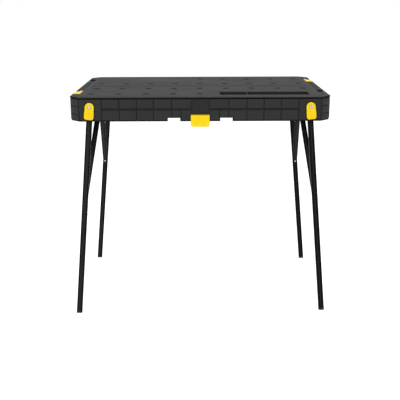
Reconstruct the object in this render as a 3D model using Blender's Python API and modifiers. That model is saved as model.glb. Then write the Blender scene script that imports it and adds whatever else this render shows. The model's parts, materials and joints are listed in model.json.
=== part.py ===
"""Folding workbench with a moulded top and two leg frames that nest under it.

Metres, +Z up.  The origin is on the floor under the middle of the top.
X runs along the long side and the front faces -Y.  Depths are measured
down from the worktop.
"""
import math

import bmesh
import bpy
from mathutils import Matrix, Vector

# Whole bench
TOP_LENGTH = 0.850
TOP_WIDTH = 0.600
HEIGHT = 0.755
GAP = 0.0003
STEEL = 0.002

# Deck
CORNER_CUT = 0.032
DECK_PLATE = 0.004
DECK_LIP = 0.0034
DECK_RIM = 0.0064
RIM_WIDTH = 0.014
REBATE = 0.0012
EDGE_ROUND = 0.002
RIB_BOTTOM = 0.0185
RIB_THICK = 0.0022
HOLE_RADIUS = 0.0100
HOLE_FLARE = 0.0020
COLLAR_WALL = 0.0035
HOLE_PITCH = 0.0905
HOLE_END_SPACE = 0.050
HOLE_COLUMNS = int((TOP_LENGTH / 2 - HOLE_END_SPACE) / HOLE_PITCH)
INNER_ROW = 0.0715
OUTER_ROW_INSET = 0.0855
OUTER_ROW = TOP_WIDTH / 2 - OUTER_ROW_INSET
ROUND_SIDES = 16
END_STRIP = 0.031
BEAD_END_SPACE = 0.065
BEAD_X = TOP_LENGTH / 2 - END_STRIP
BEAD_HALF_LENGTH = TOP_WIDTH / 2 - BEAD_END_SPACE
BEAD_WIDTH = 0.0014
BEAD_DEPTH = 0.0006
GROOVE_END_SPACE = 0.040
GROOVE_HALF_LENGTH = TOP_LENGTH / 2 - GROOVE_END_SPACE
GROOVE_HALF_WIDTH = 0.006
GROOVE_DEPTH = 0.004

# Tray sunk in the right front of the deck
TRAY_END_SPACE = 0.063
TRAY_FRONT_SPACE = 0.057
TRAY_WIDTH = 0.075
TRAY_LONG = 0.205
TRAY_SHORT = 0.089
TRAY_DIVIDER = 0.002
TRAY_RIGHT = TOP_LENGTH / 2 - TRAY_END_SPACE
TRAY_SPLIT = TRAY_RIGHT - TRAY_LONG - TRAY_DIVIDER
TRAY_X = (TRAY_SPLIT - TRAY_SHORT, TRAY_SPLIT, TRAY_SPLIT + TRAY_DIVIDER, TRAY_RIGHT)
TRAY_Y = (TRAY_FRONT_SPACE - TOP_WIDTH / 2, TRAY_FRONT_SPACE + TRAY_WIDTH - TOP_WIDTH / 2)
TRAY_DEPTH = 0.016
TRAY_WALL = 0.0022
TRAY_HOLE = (TRAY_X[0] + 0.0085, TRAY_Y[0] + 0.033, 0.0065)

# Link tongues that couple two benches end to end
LINK_CORNER_SPACE = 0.134
LINK_INSET = 0.024
LINK_REACH = 0.0033
LINK_Y = TOP_WIDTH / 2 - LINK_CORNER_SPACE
LINK_INNER_X = TOP_LENGTH / 2 - LINK_INSET
LINK_OUTER_X = TOP_LENGTH / 2 + LINK_REACH
LINK_HALF_WIDTH = 0.040
LINK_BLOCK = 0.009
LINK_SHOULDER = 0.012
LINK_FLANGE = 0.002
LINK_DEPTH = 0.0052
LINK_LOW = 0.0022
SOCKET_INSET = 0.027
SOCKET_WALL = 0.006
SOCKET_X = (TOP_LENGTH / 2 - SOCKET_INSET, TOP_LENGTH / 2 - SOCKET_WALL)
SOCKET_SIDE_PLAY = 0.001
POCKET_FLOOR = 0.0024

# Skirt
SKIRT_DEPTH = 0.0785
LIP_OVERHANG = 0.0015
SKIRT_WALL = 0.004
SKIRT_GROOVE = 0.0017
GROOVE_WIDTH = 0.003
PANEL_SPLIT = 0.0395
END_PAD = 0.106
FRONT_GROOVES = (0.092, 0.151, 0.206, 0.262, TOP_LENGTH / 2 - END_PAD)
LOW_GROOVE = 0.062
END_GROOVES = (0.030, 0.090, 0.150, 0.210)
FACET_GROOVES = (0.030, 0.055)
FACET_HALF = 0.018
RECESS_HALF = 0.029
RECESS_BOTTOM = 0.0575
RECESS_DEEP = 0.0014
NOTCH_X = (0.065, 0.105)
NOTCH_TOP = 0.0675

# Leg frames
LEG_WIDTH = 0.019
LEG_DEEP = 0.013
LEG_WALL = 0.0015
LEG_SIDE_WALL = 0.0025
LEG_EDGE = 0.0025
STRIPE_WIDTH = 0.007
STRIPE_DEEP = 0.0010
LEG_SPLAY = math.radians(5.33)
BOLT_INSET = 0.0675
BOLT_X = TOP_LENGTH / 2 - BOLT_INSET
BOLT_DEPTH = 0.032
SIDE_PLAY = 0.001
LAYER_GAP = 0.0015
ROOF_PLAY = 0.0007
FOOT_HIGH = 0.006
PLUG_LONG = 0.020
PIN_RADIUS = 0.003
BRACE_WIDTH = 0.018
BRACE_THICK = 0.007
BRACE_WALL = 0.0016
BRACE_TAB = 0.0024
BRACE_LOW = 0.336
BRACE_HIGH = 0.062
RIVET_RADIUS = 0.0025
HUB_EAR_Y = 0.026
HUB_BRACKET_EAR_Y = 0.022
HUB_RIVET_Y = 0.015
HUB_WIDTH = 0.018

# Brackets and screws
CHEEK_BOTTOM = 0.062
CHEEK_HALF = LEG_WIDTH / 2 + GAP + STEEL
SEAM = 0.0005
FLANGE_LONG = 0.019
HUB_SCREW_OUT = 0.009
SCREW_RADIUS = 0.002
SCREW_HEAD = 0.004
SCREW_HEAD_HIGH = 0.0022
SCREW_TIP = 0.008
BOSS_RADIUS = 0.0045
HOLE_PLAY = 0.0003
PIN_HEAD = [(PIN_RADIUS + 0.0018, 0), (PIN_RADIUS + 0.0018, 0.0015), (PIN_RADIUS, 0.0022)]

# Lock levers
LEVER_RADIUS = 0.0154
LEVER_TOP_RADIUS = 0.0147
LEVER_LENGTH = 0.0405
LEVER_THICK = 0.0048
LEVER_BOSS = 0.006
LEVER_BOLT = 0.0025
LEVER_BOLT_HEAD = 0.0055
LEVER_BOLT_HEAD_HIGH = 0.0022
ARM_EYE = 0.0064
ARM_HALF = 0.0055
PAD_NEAR = 0.0393
PAD_FAR = 0.0450

# Front latch
LATCH_HALF = 0.0305
LATCH_PIVOT_INSET = 0.0065
LATCH_PIVOT_DEPTH = 0.0375
LATCH_PIN_RADIUS = 0.0015
LATCH_EYE = 0.0040
LATCH_ARM_HALF = 0.0285
LATCH_ARM = 0.0018
LATCH_OPENING = 0.0550
LATCH_PLATE_TOP = 0.0582
LATCH_BEND = 0.0765
LATCH_END = 0.0945
SWING_ROOM = 0.0013
SWING_ROOM_HIGH = 0.0105
LATCH_SHEET = 0.0034
LATCH_FLARE = 0.009
NOSE_X = (0.000, 0.024)
NOSE_REACH = 0.0034
EAR_THICK = 0.003

# Bands across the bench, worked out from the skirt inwards
SKIRT_FACE = TOP_WIDTH / 2 - LIP_OVERHANG
SKIRT_INSIDE = SKIRT_FACE - SKIRT_WALL
LATCH_PIVOT_OUT = SKIRT_INSIDE - LATCH_PIVOT_INSET
OUTER_CHEEK = SKIRT_INSIDE - GAP - STEEL - GAP
WIDE_LEG = OUTER_CHEEK - STEEL - SIDE_PLAY
MIDDLE_CHEEK = WIDE_LEG - LEG_DEEP - SIDE_PLAY
NARROW_LEG = MIDDLE_CHEEK - STEEL - SIDE_PLAY
INNER_CHEEK = NARROW_LEG - LEG_DEEP - SIDE_PLAY

# Layers under the deck
ROOF_TOP = RIB_BOTTOM + GAP
ROOF_BOTTOM = ROOF_TOP + STEEL
UPPER_PIVOT = ROOF_BOTTOM + ROOF_PLAY + LEG_WIDTH / 2
LOWER_PIVOT = UPPER_PIVOT + LEG_WIDTH + LAYER_GAP

for old in list(bpy.data.objects):
    bpy.data.objects.remove(old, do_unlink=True)

PARTS = bpy.data.collections.new("folding_workbench")
CUTTERS = bpy.data.collections.new("cutters")
bpy.context.scene.collection.children.link(PARTS)
bpy.context.scene.collection.children.link(CUTTERS)


def material(name, colour, rough, metal):
    """A Principled material of one colour."""
    made = bpy.data.materials.new(name)
    made.use_nodes = True
    shader = made.node_tree.nodes["Principled BSDF"]
    shader.inputs["Base Color"].default_value = (*colour, 1.0)
    shader.inputs["Roughness"].default_value = rough
    shader.inputs["Metallic"].default_value = metal
    made.diffuse_color = (*colour, 1.0)
    return made


LOOKS = {
    "plastic": ((0.075, 0.078, 0.082), 0.55, 0.0),
    "skirt": ((0.035, 0.036, 0.038), 0.50, 0.0),
    "yellow": ((0.95, 0.68, 0.02), 0.40, 0.0),
    "leg": ((0.050, 0.052, 0.055), 0.40, 0.0),
    "steel": ((0.42, 0.43, 0.44), 0.35, 1.0),
    "rubber": ((0.012, 0.012, 0.012), 0.80, 0.0),
}


def level(depth):
    """Height of a place that lies so far under the worktop."""
    return HEIGHT - depth


def leg_line(depth):
    """Distance of a leg's centre line from the middle at a depth."""
    return BOLT_X + (depth - BOLT_DEPTH) * math.tan(LEG_SPLAY)


def mesh_object(name, shape, look=None):
    """Turn a bmesh into a part with a material, or into a hidden cutter."""
    mesh = bpy.data.meshes.new(name)
    shape.to_mesh(mesh)
    shape.free()
    thing = bpy.data.objects.new(name, mesh)
    if look:
        PARTS.objects.link(thing)
        mesh.materials.append(material(name, *LOOKS[look]))
    else:
        CUTTERS.objects.link(thing)
        thing.hide_render = True
        thing.display_type = "WIRE"
    return thing


def add_box(shape, x, y, z):
    """Add a box between three pairs of limits."""
    size = Vector((x[1] - x[0], y[1] - y[0], z[1] - z[0]))
    middle = Vector((x[0] + x[1], y[0] + y[1], z[0] + z[1])) / 2
    place = Matrix.Translation(middle) @ Matrix.Diagonal((*size, 1.0))
    bmesh.ops.create_cube(shape, size=1.0, matrix=place)


def add_rod(shape, start, end, radius, sides=ROUND_SIDES, far_radius=None):
    """Add a cylinder or a cone frustum between two points."""
    start = Vector(start)
    end = Vector(end)
    axis = end - start
    turn = axis.to_track_quat("Z", "Y").to_matrix().to_4x4()
    place = Matrix.Translation((start + end) / 2) @ turn
    bmesh.ops.create_cone(
        shape, cap_ends=True, segments=sides, radius1=radius,
        radius2=radius if far_radius is None else far_radius,
        depth=axis.length, matrix=place)


PLANES = {
    "XY": Matrix.Identity(4),
    "XZ": Matrix.Rotation(math.pi / 2, 4, "X"),
    "YZ": Matrix(((0, 0, 1, 0), (1, 0, 0, 0), (0, 1, 0, 0), (0, 0, 0, 1))),
}


def outline(name, points, plane, low, high, look=None):
    """Extrude a closed outline between two places on the plane's axis."""
    curve = bpy.data.curves.new(name, "CURVE")
    curve.dimensions = "2D"
    curve.fill_mode = "BOTH"
    curve.extrude = (high - low) / 2
    spline = curve.splines.new("POLY")
    spline.points.add(len(points) - 1)
    for slot, (a, b) in zip(spline.points, points):
        slot.co = (a, b, 0.0, 1.0)
    spline.use_cyclic_u = True
    guide = bpy.data.objects.new(name, curve)
    CUTTERS.objects.link(guide)
    bpy.context.view_layer.update()
    seen = guide.evaluated_get(bpy.context.evaluated_depsgraph_get())
    flat = bpy.data.meshes.new_from_object(seen)
    shape = bmesh.new()
    shape.from_mesh(flat)
    bpy.data.objects.remove(guide)
    bpy.data.meshes.remove(flat)
    bmesh.ops.remove_doubles(shape, verts=shape.verts, dist=1e-5)
    turn = PLANES[plane]
    axis = turn @ Vector((0, 0, 1))
    middle = (low + high) / 2
    if plane == "XZ":
        middle = -middle
    shape.transform(Matrix.Translation(axis * middle) @ turn)
    bmesh.ops.dissolve_limit(shape, angle_limit=0.001, verts=shape.verts, edges=shape.edges)
    bmesh.ops.recalc_face_normals(shape, faces=shape.faces)
    if shape.calc_volume(signed=True) < 0:
        bmesh.ops.reverse_faces(shape, faces=shape.faces)
    return mesh_object(name, shape, look)


def boolean(target, other, operation="DIFFERENCE", solver="MANIFOLD"):
    """Cut a piece by another or join them; the two mouldings use EXACT."""
    step = target.modifiers.new(other.name, "BOOLEAN")
    step.operation = operation
    step.solver = solver
    step.object = other
    return target


def rounded(target, width, segments=2, angle=50):
    """Round a piece's sharp edges."""
    step = target.modifiers.new("rounded", "BEVEL")
    step.width = width
    step.segments = segments
    step.limit_method = "ANGLE"
    step.angle_limit = math.radians(angle)
    return target


def attach(parent, *things):
    """Hang pieces on an empty without moving them out of its frame."""
    for thing in things:
        thing.parent = parent


def arc(centre, radius, start, end, steps):
    """Points on an arc, with angles in degrees."""
    points = []
    for step in range(steps + 1):
        turn = math.radians(start + (end - start) * step / steps)
        points.append((centre[0] + radius * math.cos(turn), centre[1] + radius * math.sin(turn)))
    return points


def octagon(inset):
    """Outline of the top with its corners cut, drawn in by an inset."""
    half_x = TOP_LENGTH / 2 - inset
    half_y = TOP_WIDTH / 2 - inset
    cut = CORNER_CUT - inset * (2 - math.sqrt(2))
    return [
        (half_x - cut, -half_y), (half_x, -half_y + cut),
        (half_x, half_y - cut), (half_x - cut, half_y),
        (-half_x + cut, half_y), (-half_x, half_y - cut),
        (-half_x, -half_y + cut), (-half_x + cut, -half_y)]


def strap_points(half, bottom, steps=8):
    """Strip with a round top about the origin and a square bottom."""
    points = arc((0, 0), half, 0, 180, steps)
    return points + [(-half, bottom), (half, bottom)]


def bracket_screw_place(side, front):
    """Where a leg bracket is screwed to the deck."""
    outer, inner = cheek_bands(side)
    roof_x = side * (BOLT_X + CHEEK_HALF + FLANGE_LONG / 2)
    return roof_x, front * (outer + inner - STEEL) / 2


def hub_screw_place(side, front):
    """Where a hub bracket is screwed to the deck, at its front or back end."""
    return side * leg_line(pivot_depth(side)), front * (HUB_EAR_Y + HUB_SCREW_OUT)


def cheek_bands(side):
    """Outer faces of a bracket's two cheeks, for the left or right frame."""
    if side < 0:
        return OUTER_CHEEK, MIDDLE_CHEEK
    return MIDDLE_CHEEK, INNER_CHEEK


def leg_outer(side):
    """Outer face of a leg across the bench."""
    return WIDE_LEG if side < 0 else NARROW_LEG


def pivot_depth(side):
    """The left frame folds into the lower layer, the right into the upper."""
    return LOWER_PIVOT if side < 0 else UPPER_PIVOT


def all_roof_screws():
    """Every screw that holds a bracket up against the deck's bosses."""
    places = []
    for side in (-1, 1):
        for front in (-1, 1):
            places += [bracket_screw_place(side, front), hub_screw_place(side, front)]
    return places


def dog_holes():
    """Centres of the clamp holes: two full rows and two half rows."""
    places = []
    for column in range(-HOLE_COLUMNS, HOLE_COLUMNS + 1):
        x = column * HOLE_PITCH
        places += [(x, -INNER_ROW), (x, INNER_ROW)]
        if column <= 0:
            places.append((x, -OUTER_ROW))
        if column >= 0:
            places.append((x, OUTER_ROW))
    return places


def deck_structure():
    """Collars, ribs, tray box and bosses that stand under the deck."""
    under = level(DECK_PLATE) + 0.001
    end_inside = TOP_LENGTH / 2 - LIP_OVERHANG - SKIRT_WALL
    ribs = bmesh.new()
    for column in range(HOLE_COLUMNS):
        x = (column + 0.5) * HOLE_PITCH
        for side in (-1, 1):
            add_box(ribs, (side * x - RIB_THICK / 2, side * x + RIB_THICK / 2),
                    (-SKIRT_INSIDE + GAP, SKIRT_INSIDE - GAP),
                    (level(RIB_BOTTOM - 0.001), under))
    rows = bmesh.new()
    middle_row = (INNER_ROW + OUTER_ROW) / 2
    for y in (-middle_row, middle_row):
        add_box(rows, (-end_inside + GAP, end_inside - GAP),
                (y - RIB_THICK / 2, y + RIB_THICK / 2), (level(RIB_BOTTOM - 0.002), under))
    add_box(rows, (-GROOVE_HALF_LENGTH - 0.004, GROOVE_HALF_LENGTH + 0.004),
            (-GROOVE_HALF_WIDTH - 0.003, GROOVE_HALF_WIDTH + 0.003),
            (level(GROOVE_DEPTH + 0.0035), under))
    rounds = bmesh.new()
    for x, y in dog_holes():
        add_rod(rounds, (x, y, level(RIB_BOTTOM)), (x, y, under), HOLE_RADIUS + COLLAR_WALL)
    for x, y in all_roof_screws():
        add_rod(rounds, (x, y, level(RIB_BOTTOM)), (x, y, under), BOSS_RADIUS, 10)
    trays = bmesh.new()
    add_box(trays, (TRAY_X[0] - TRAY_WALL, TRAY_X[3] + TRAY_WALL),
            (TRAY_Y[0] - TRAY_WALL, TRAY_Y[1] + TRAY_WALL), (level(RIB_BOTTOM), under))
    pockets = bmesh.new()
    wide = LINK_HALF_WIDTH + LINK_FLANGE + POCKET_FLOOR
    for side in (-1, 1):
        near = min(LINK_INNER_X, SOCKET_X[0]) - POCKET_FLOOR
        x = sorted((side * near, side * (TOP_LENGTH / 2 - RIM_WIDTH + 0.001)))
        for end in (-1, 1):
            add_box(pockets, x, (end * LINK_Y - wide, end * LINK_Y + wide),
                    (level(LINK_DEPTH + POCKET_FLOOR), under))
    return [
        mesh_object("deck_ribs", ribs), mesh_object("deck_rows", rows),
        mesh_object("deck_rounds", rounds), mesh_object("deck_tray_box", trays),
        mesh_object("deck_pocket_blocks", pockets)]


def deck_cuts():
    """Everything that is cut out of the deck."""
    above = level(-0.002)
    holes = bmesh.new()
    for x, y in dog_holes():
        add_rod(holes, (x, y, level(RIB_BOTTOM + 0.002)), (x, y, above), HOLE_RADIUS)
    flares = bmesh.new()
    for x, y in dog_holes():
        add_rod(flares, (x, y, level(HOLE_FLARE)), (x, y, level(-HOLE_FLARE)), HOLE_RADIUS,
                far_radius=HOLE_RADIUS + 2 * HOLE_FLARE)
    pilots = bmesh.new()
    for x, y in all_roof_screws():
        add_rod(pilots, (x, y, level(RIB_BOTTOM + 0.002)), (x, y, level(SCREW_TIP - 0.001)),
                SCREW_RADIUS + HOLE_PLAY, 8)
    trays = bmesh.new()
    for x in (TRAY_X[0:2], TRAY_X[2:4]):
        add_box(trays, x, TRAY_Y, (level(TRAY_DEPTH), above))
    drain = bmesh.new()
    x, y, radius = TRAY_HOLE
    add_rod(drain, (x, y, level(RIB_BOTTOM + 0.002)), (x, y, level(0.010)), radius, 12)
    beads = bmesh.new()
    for side in (-1, 1):
        add_box(beads, (side * BEAD_X - BEAD_WIDTH / 2, side * BEAD_X + BEAD_WIDTH / 2),
                (-BEAD_HALF_LENGTH, BEAD_HALF_LENGTH), (level(BEAD_DEPTH), above))
    links = bmesh.new()
    flanges = bmesh.new()
    for side in (-1, 1):
        end = TOP_LENGTH / 2 + 0.002
        y = side * LINK_Y
        half = LINK_HALF_WIDTH + HOLE_PLAY
        x = sorted((side * LINK_INNER_X, side * end))
        add_box(links, x, (y - half, y + half), (level(LINK_DEPTH), above))
        half += LINK_FLANGE
        add_box(flanges, x, (y - half, y + half), (level(LINK_DEPTH), level(LINK_LOW + GAP)))
        half = LINK_HALF_WIDTH + SOCKET_SIDE_PLAY
        x = sorted((side * SOCKET_X[0], side * SOCKET_X[1]))
        add_box(links, x, (-y - half, -y + half), (level(LINK_DEPTH), above))
        x = sorted((side * (SOCKET_X[1] - 0.001), side * end))
        add_box(flanges, x, (-y - half, -y + half), (level(LINK_DEPTH), level(LINK_LOW - GAP)))
    cuts = [
        mesh_object("cut_dog_holes", holes), mesh_object("cut_flares", flares),
        mesh_object("cut_pilots", pilots), mesh_object("cut_trays", trays),
        mesh_object("cut_drain", drain), mesh_object("cut_beads", beads),
        mesh_object("cut_links", links), mesh_object("cut_link_flanges", flanges)]
    vee = [(-GROOVE_HALF_WIDTH, level(-0.0001)), (0.0, level(GROOVE_DEPTH)),
           (GROOVE_HALF_WIDTH, level(-0.0001))]
    cuts.append(outline("cut_vee", vee, "YZ", -GROOVE_HALF_LENGTH, GROOVE_HALF_LENGTH))
    return cuts


def build_deck():
    """Moulded worktop."""
    deck = outline("deck", octagon(0), "XY", level(DECK_LIP), level(0), "plastic")
    shape = bmesh.new()
    shape.from_mesh(deck.data)
    top = [edge for edge in shape.edges if all(v.co.z > level(0.0001) for v in edge.verts)]
    bmesh.ops.bevel(shape, geom=top, offset=EDGE_ROUND, segments=2, profile=0.5,
                    affect="EDGES", clamp_overlap=True, material=-1)
    shape.to_mesh(deck.data)
    shape.free()
    rebate = outline("deck_rebate", octagon(LIP_OVERHANG + REBATE), "XY",
                     level(DECK_RIM), level(DECK_LIP - 0.001))
    boolean(deck, rebate, "UNION", "EXACT")
    under = outline("cut_deck_under", octagon(RIM_WIDTH), "XY",
                    level(DECK_RIM + 0.01), level(DECK_PLATE))
    boolean(deck, under, "DIFFERENCE", "EXACT")
    for piece in deck_structure():
        boolean(deck, piece, "UNION", "EXACT")
    for piece in deck_cuts():
        boolean(deck, piece, "DIFFERENCE", "EXACT")


def build_skirt():
    """Moulded skirt with grooved panels, fitted round the ends of the deck's ribs."""
    top = DECK_RIM + GAP
    skirt = outline("skirt", octagon(LIP_OVERHANG), "XY", level(SKIRT_DEPTH), level(top), "skirt")
    inside = outline("cut_skirt_inside", octagon(LIP_OVERHANG + SKIRT_WALL), "XY",
                     level(SKIRT_DEPTH + 0.01), level(top - 0.01))
    boolean(skirt, inside, "DIFFERENCE", "EXACT")
    ears = bmesh.new()
    for side in (-1, 1):
        near = LATCH_ARM_HALF + GAP
        x = sorted((side * near, side * (near + EAR_THICK)))
        add_box(ears, x, (-SKIRT_INSIDE - 0.001, -LATCH_PIVOT_OUT + LATCH_EYE),
                (level(LATCH_PIVOT_DEPTH + LATCH_EYE), level(LATCH_PIVOT_DEPTH - LATCH_EYE)))
    boolean(skirt, mesh_object("skirt_ears", ears), "UNION", "EXACT")
    for piece in skirt_cuts(top):
        boolean(skirt, piece, "DIFFERENCE", "EXACT")


def skirt_cuts(top):
    """Grooves, notches, recess and holes of the skirt."""
    face_y = SKIRT_FACE
    face_x = TOP_LENGTH / 2 - LIP_OVERHANG
    groove = SKIRT_GROOVE
    half = GROOVE_WIDTH / 2
    low = level(SKIRT_DEPTH + 0.001)
    high = level(top - 0.001)
    rows = bmesh.new()
    columns = bmesh.new()
    for front in (-1, 1):
        y = sorted((front * (face_y - groove), front * (face_y + 0.002)))
        for side in (-1, 1):
            x = sorted((side * RECESS_HALF, side * FRONT_GROOVES[-1]))
            add_box(rows, x, y, (level(PANEL_SPLIT) - half, level(PANEL_SPLIT) + half))
            for place in FRONT_GROOVES:
                middle = side * place
                add_box(columns, (middle - half, middle + half), y, (low, high))
            middle = side * LOW_GROOVE
            add_box(columns, (middle - half, middle + half), y, (low, level(PANEL_SPLIT)))
    for side in (-1, 1):
        x = sorted((side * (face_x - groove), side * (face_x + 0.002)))
        add_box(rows, x, (-END_GROOVES[-1], END_GROOVES[-1]),
                (level(PANEL_SPLIT) - half, level(PANEL_SPLIT) + half))
        for place in END_GROOVES:
            for end in (-1, 1):
                middle = end * place
                add_box(columns, x, (middle - half, middle + half), (low, high))
    facets = bmesh.new()
    for turn_x in (-1, 1):
        for turn_y in (-1, 1):
            middle_x = TOP_LENGTH / 2 - CORNER_CUT / 2 - LIP_OVERHANG / math.sqrt(2)
            middle_y = TOP_WIDTH / 2 - CORNER_CUT / 2 - LIP_OVERHANG / math.sqrt(2)
            spin = math.atan2(turn_y, turn_x)
            place = Matrix.Translation((turn_x * middle_x, turn_y * middle_y, 0))
            place = place @ Matrix.Rotation(spin, 4, "Z")
            for depth in FACET_GROOVES:
                size = Matrix.Diagonal((2 * groove, 2 * FACET_HALF, GROOVE_WIDTH, 1))
                spot = place @ Matrix.Translation((0, 0, level(depth)))
                bmesh.ops.create_cube(facets, size=1.0, matrix=spot @ size)
    panels = bmesh.new()
    for front in (-1, 1):
        y = sorted((front * (face_y - RECESS_DEEP), front * (face_y + 0.002)))
        add_box(panels, (-RECESS_HALF, RECESS_HALF), y, (level(RECESS_BOTTOM), high))
    notches = bmesh.new()
    for side in (-1, 1):
        x = sorted((side * NOTCH_X[0], side * NOTCH_X[1]))
        add_box(notches, x, (-face_y - 0.01, face_y + 0.01), (low - 0.002, level(NOTCH_TOP)))
    opening = bmesh.new()
    wide = LATCH_HALF + 0.001
    add_box(opening, (-wide, wide), (-face_y - 0.01, -SKIRT_INSIDE + 0.002),
            (low - 0.002, level(LATCH_OPENING)))
    room = bmesh.new()
    wide = LATCH_ARM_HALF + SWING_ROOM
    add_box(room, (-wide, wide), (-SKIRT_INSIDE - SWING_ROOM, -SKIRT_INSIDE + 0.002),
            (level(LATCH_OPENING + 0.001), level(LATCH_OPENING - SWING_ROOM_HIGH)))
    holes = bmesh.new()
    for side in (-1, 1):
        for front in (-1, 1):
            add_rod(holes, (side * BOLT_X, front * (SKIRT_INSIDE - 0.01), level(BOLT_DEPTH)),
                    (side * BOLT_X, front * (face_y + 0.01), level(BOLT_DEPTH)),
                    LEVER_BOSS + HOLE_PLAY)
    pin_y = -LATCH_PIVOT_OUT
    pin_z = level(LATCH_PIVOT_DEPTH)
    reach = LATCH_ARM_HALF + EAR_THICK + 0.002
    add_rod(holes, (-reach, pin_y, pin_z), (reach, pin_y, pin_z),
            LATCH_PIN_RADIUS + HOLE_PLAY, 10)
    return [
        mesh_object("cut_skirt_rows", rows), mesh_object("cut_skirt_columns", columns),
        mesh_object("cut_facets", facets), mesh_object("cut_panels", panels),
        mesh_object("cut_notches", notches), mesh_object("cut_opening", opening),
        mesh_object("cut_swing_room", room), mesh_object("cut_skirt_holes", holes)]


def frame_root(side):
    """Empty on a leg frame's hinge, leaning with its legs."""
    label = "left" if side < 0 else "right"
    depth = pivot_depth(side)
    root = bpy.data.objects.new(label + "_frame_hinge", None)
    PARTS.objects.link(root)
    root.location = (side * leg_line(depth), 0.0, level(depth))
    root.rotation_euler = (0.0, -side * LEG_SPLAY, 0.0)
    return root


def along_leg(side, depth):
    """How far down the leg from its pivot a depth lies."""
    return (depth - pivot_depth(side)) / math.cos(LEG_SPLAY)


def band(front, outer, inner):
    """Limits across the bench of a piece on the front or back side."""
    return sorted((front * outer, front * inner))


def build_leg(side, front, name, root):
    """Pressed tube with a sunk stripe and a plugged foot."""
    length = along_leg(side, HEIGHT)
    outer = leg_outer(side)
    low, high = band(front, outer, outer - LEG_DEEP)
    end = -length + FOOT_HIGH
    leg = outline("leg_" + name, strap_points(LEG_WIDTH / 2, end), "XZ", low, high, "leg")
    section = outline("leg_section_" + name, rounded_section(low, high), "XY", end - 0.01, 0.02)
    boolean(leg, section, "INTERSECT")
    hollow = bmesh.new()
    half = LEG_WIDTH / 2 - LEG_WALL
    add_box(hollow, (-half, half), (low + LEG_SIDE_WALL, high - LEG_SIDE_WALL),
            (end - 0.01, -along_leg(side, CHEEK_BOTTOM) - 0.02))
    stripes = bmesh.new()
    stripe = STRIPE_WIDTH / 2
    top = -along_leg(side, SKIRT_DEPTH) - 0.012
    for face in (low, high):
        y = (face - STRIPE_DEEP, face + STRIPE_DEEP)
        add_box(stripes, (-stripe, stripe), y, (end + 0.03, top))
    holes = bmesh.new()
    add_rod(holes, (0, low - 0.01, 0), (0, high + 0.01, 0), PIN_RADIUS + HOLE_PLAY)
    brace_z = -along_leg(side, BRACE_LOW)
    inner = front * (outer - LEG_DEEP)
    add_rod(holes, (0, inner - front * 0.01, brace_z), (0, inner + front * 0.004, brace_z),
            RIVET_RADIUS + HOLE_PLAY, 10)
    cuts = [mesh_object("cut_hollow_" + name, hollow), mesh_object("cut_stripe_" + name, stripes),
            mesh_object("cut_leg_holes_" + name, holes)]
    for cut in cuts:
        boolean(leg, cut)
    attach(root, leg, section, *cuts)
    build_foot(side, name, root, (low, high), end)


def rounded_section(low, high):
    """Cross section of a leg tube, with round corners."""
    half = LEG_WIDTH / 2 - LEG_EDGE
    near = low + LEG_EDGE
    far = high - LEG_EDGE
    points = arc((half, far), LEG_EDGE, 0, 90, 3) + arc((-half, far), LEG_EDGE, 90, 180, 3)
    points += arc((-half, near), LEG_EDGE, 180, 270, 3) + arc((half, near), LEG_EDGE, 270, 360, 3)
    return points


def build_foot(side, name, root, limits, end):
    """Rubber cap plugged into the tube and cut level with the floor."""
    low, high = limits
    half = LEG_WIDTH / 2
    lean = -side * math.tan(LEG_SPLAY)
    length = along_leg(side, HEIGHT)
    top = end - GAP
    points = [(-half, top), (-half, -length - half * lean), (half, -length + half * lean), (half, top)]
    cap = outline("foot_cap_" + name, points, "XZ", low, high, "rubber")
    plug = bmesh.new()
    inside = half - LEG_WALL - GAP
    add_box(plug, (-inside, inside), (low + LEG_SIDE_WALL + GAP, high - LEG_SIDE_WALL - GAP),
            (top - 0.001, top + PLUG_LONG))
    plug_part = mesh_object("plug_" + name, plug)
    boolean(cap, plug_part, "UNION")
    attach(root, cap, plug_part)


def build_brace(side, front, name, root):
    """Pressed channel from the hub to the inner face of a leg, open on its upper side."""
    face = leg_outer(side) - LEG_DEEP - GAP
    top = -along_leg(side, BRACE_HIGH) - STEEL / 2 - GAP
    rivet = -along_leg(side, BRACE_LOW)
    start = (HUB_RIVET_Y + 0.010, top)
    meet = (face, rivet + 0.012)
    run = Vector((meet[0] - start[0], meet[1] - start[1])).normalized()
    under = (start[0] + run[1] * BRACE_THICK, start[1] - run[0] * BRACE_THICK)
    tab_under = top - BRACE_TAB
    low_y = under[0] + run[0] * (tab_under - under[1]) / run[1]
    tab_face = face - BRACE_TAB
    low_z = under[1] + run[1] * (tab_face - under[0]) / run[0]
    points = [
        (HUB_RIVET_Y - 0.008, top), start, meet, (face, rivet - 0.011),
        (tab_face, rivet - 0.011), (tab_face, low_z), (low_y, tab_under),
        (HUB_RIVET_Y - 0.008, tab_under)]
    points = [(front * y, z) for y, z in points]
    half = BRACE_WIDTH / 2
    brace = outline("brace_" + name, points, "YZ", -half, half, "leg")
    holes = bmesh.new()
    add_rod(holes, (0, front * (face - 0.01), rivet), (0, front * (face + 0.001), rivet),
            RIVET_RADIUS + HOLE_PLAY, 10)
    add_rod(holes, (0, front * HUB_RIVET_Y, top + 0.001),
            (0, front * HUB_RIVET_Y, top - 0.01), RIVET_RADIUS + HOLE_PLAY, 10)
    cut = mesh_object("cut_brace_" + name, holes)
    boolean(brace, cut)
    inward = Vector((run[1], -run[0]))
    web = inward * (BRACE_THICK - BRACE_WALL)
    begin = Vector(start) + run * (2 * BRACE_THICK) + web
    finish = Vector(meet) - run * (2 * BRACE_THICK) + web
    out = inward * -2 * BRACE_THICK
    trough = [begin, finish, finish + out, begin + out]
    channel = outline("cut_channel_" + name, [(front * y, z) for y, z in trough], "YZ",
                      BRACE_WALL - half, half - BRACE_WALL)
    boolean(brace, channel)
    attach(root, brace, cut, channel)


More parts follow.
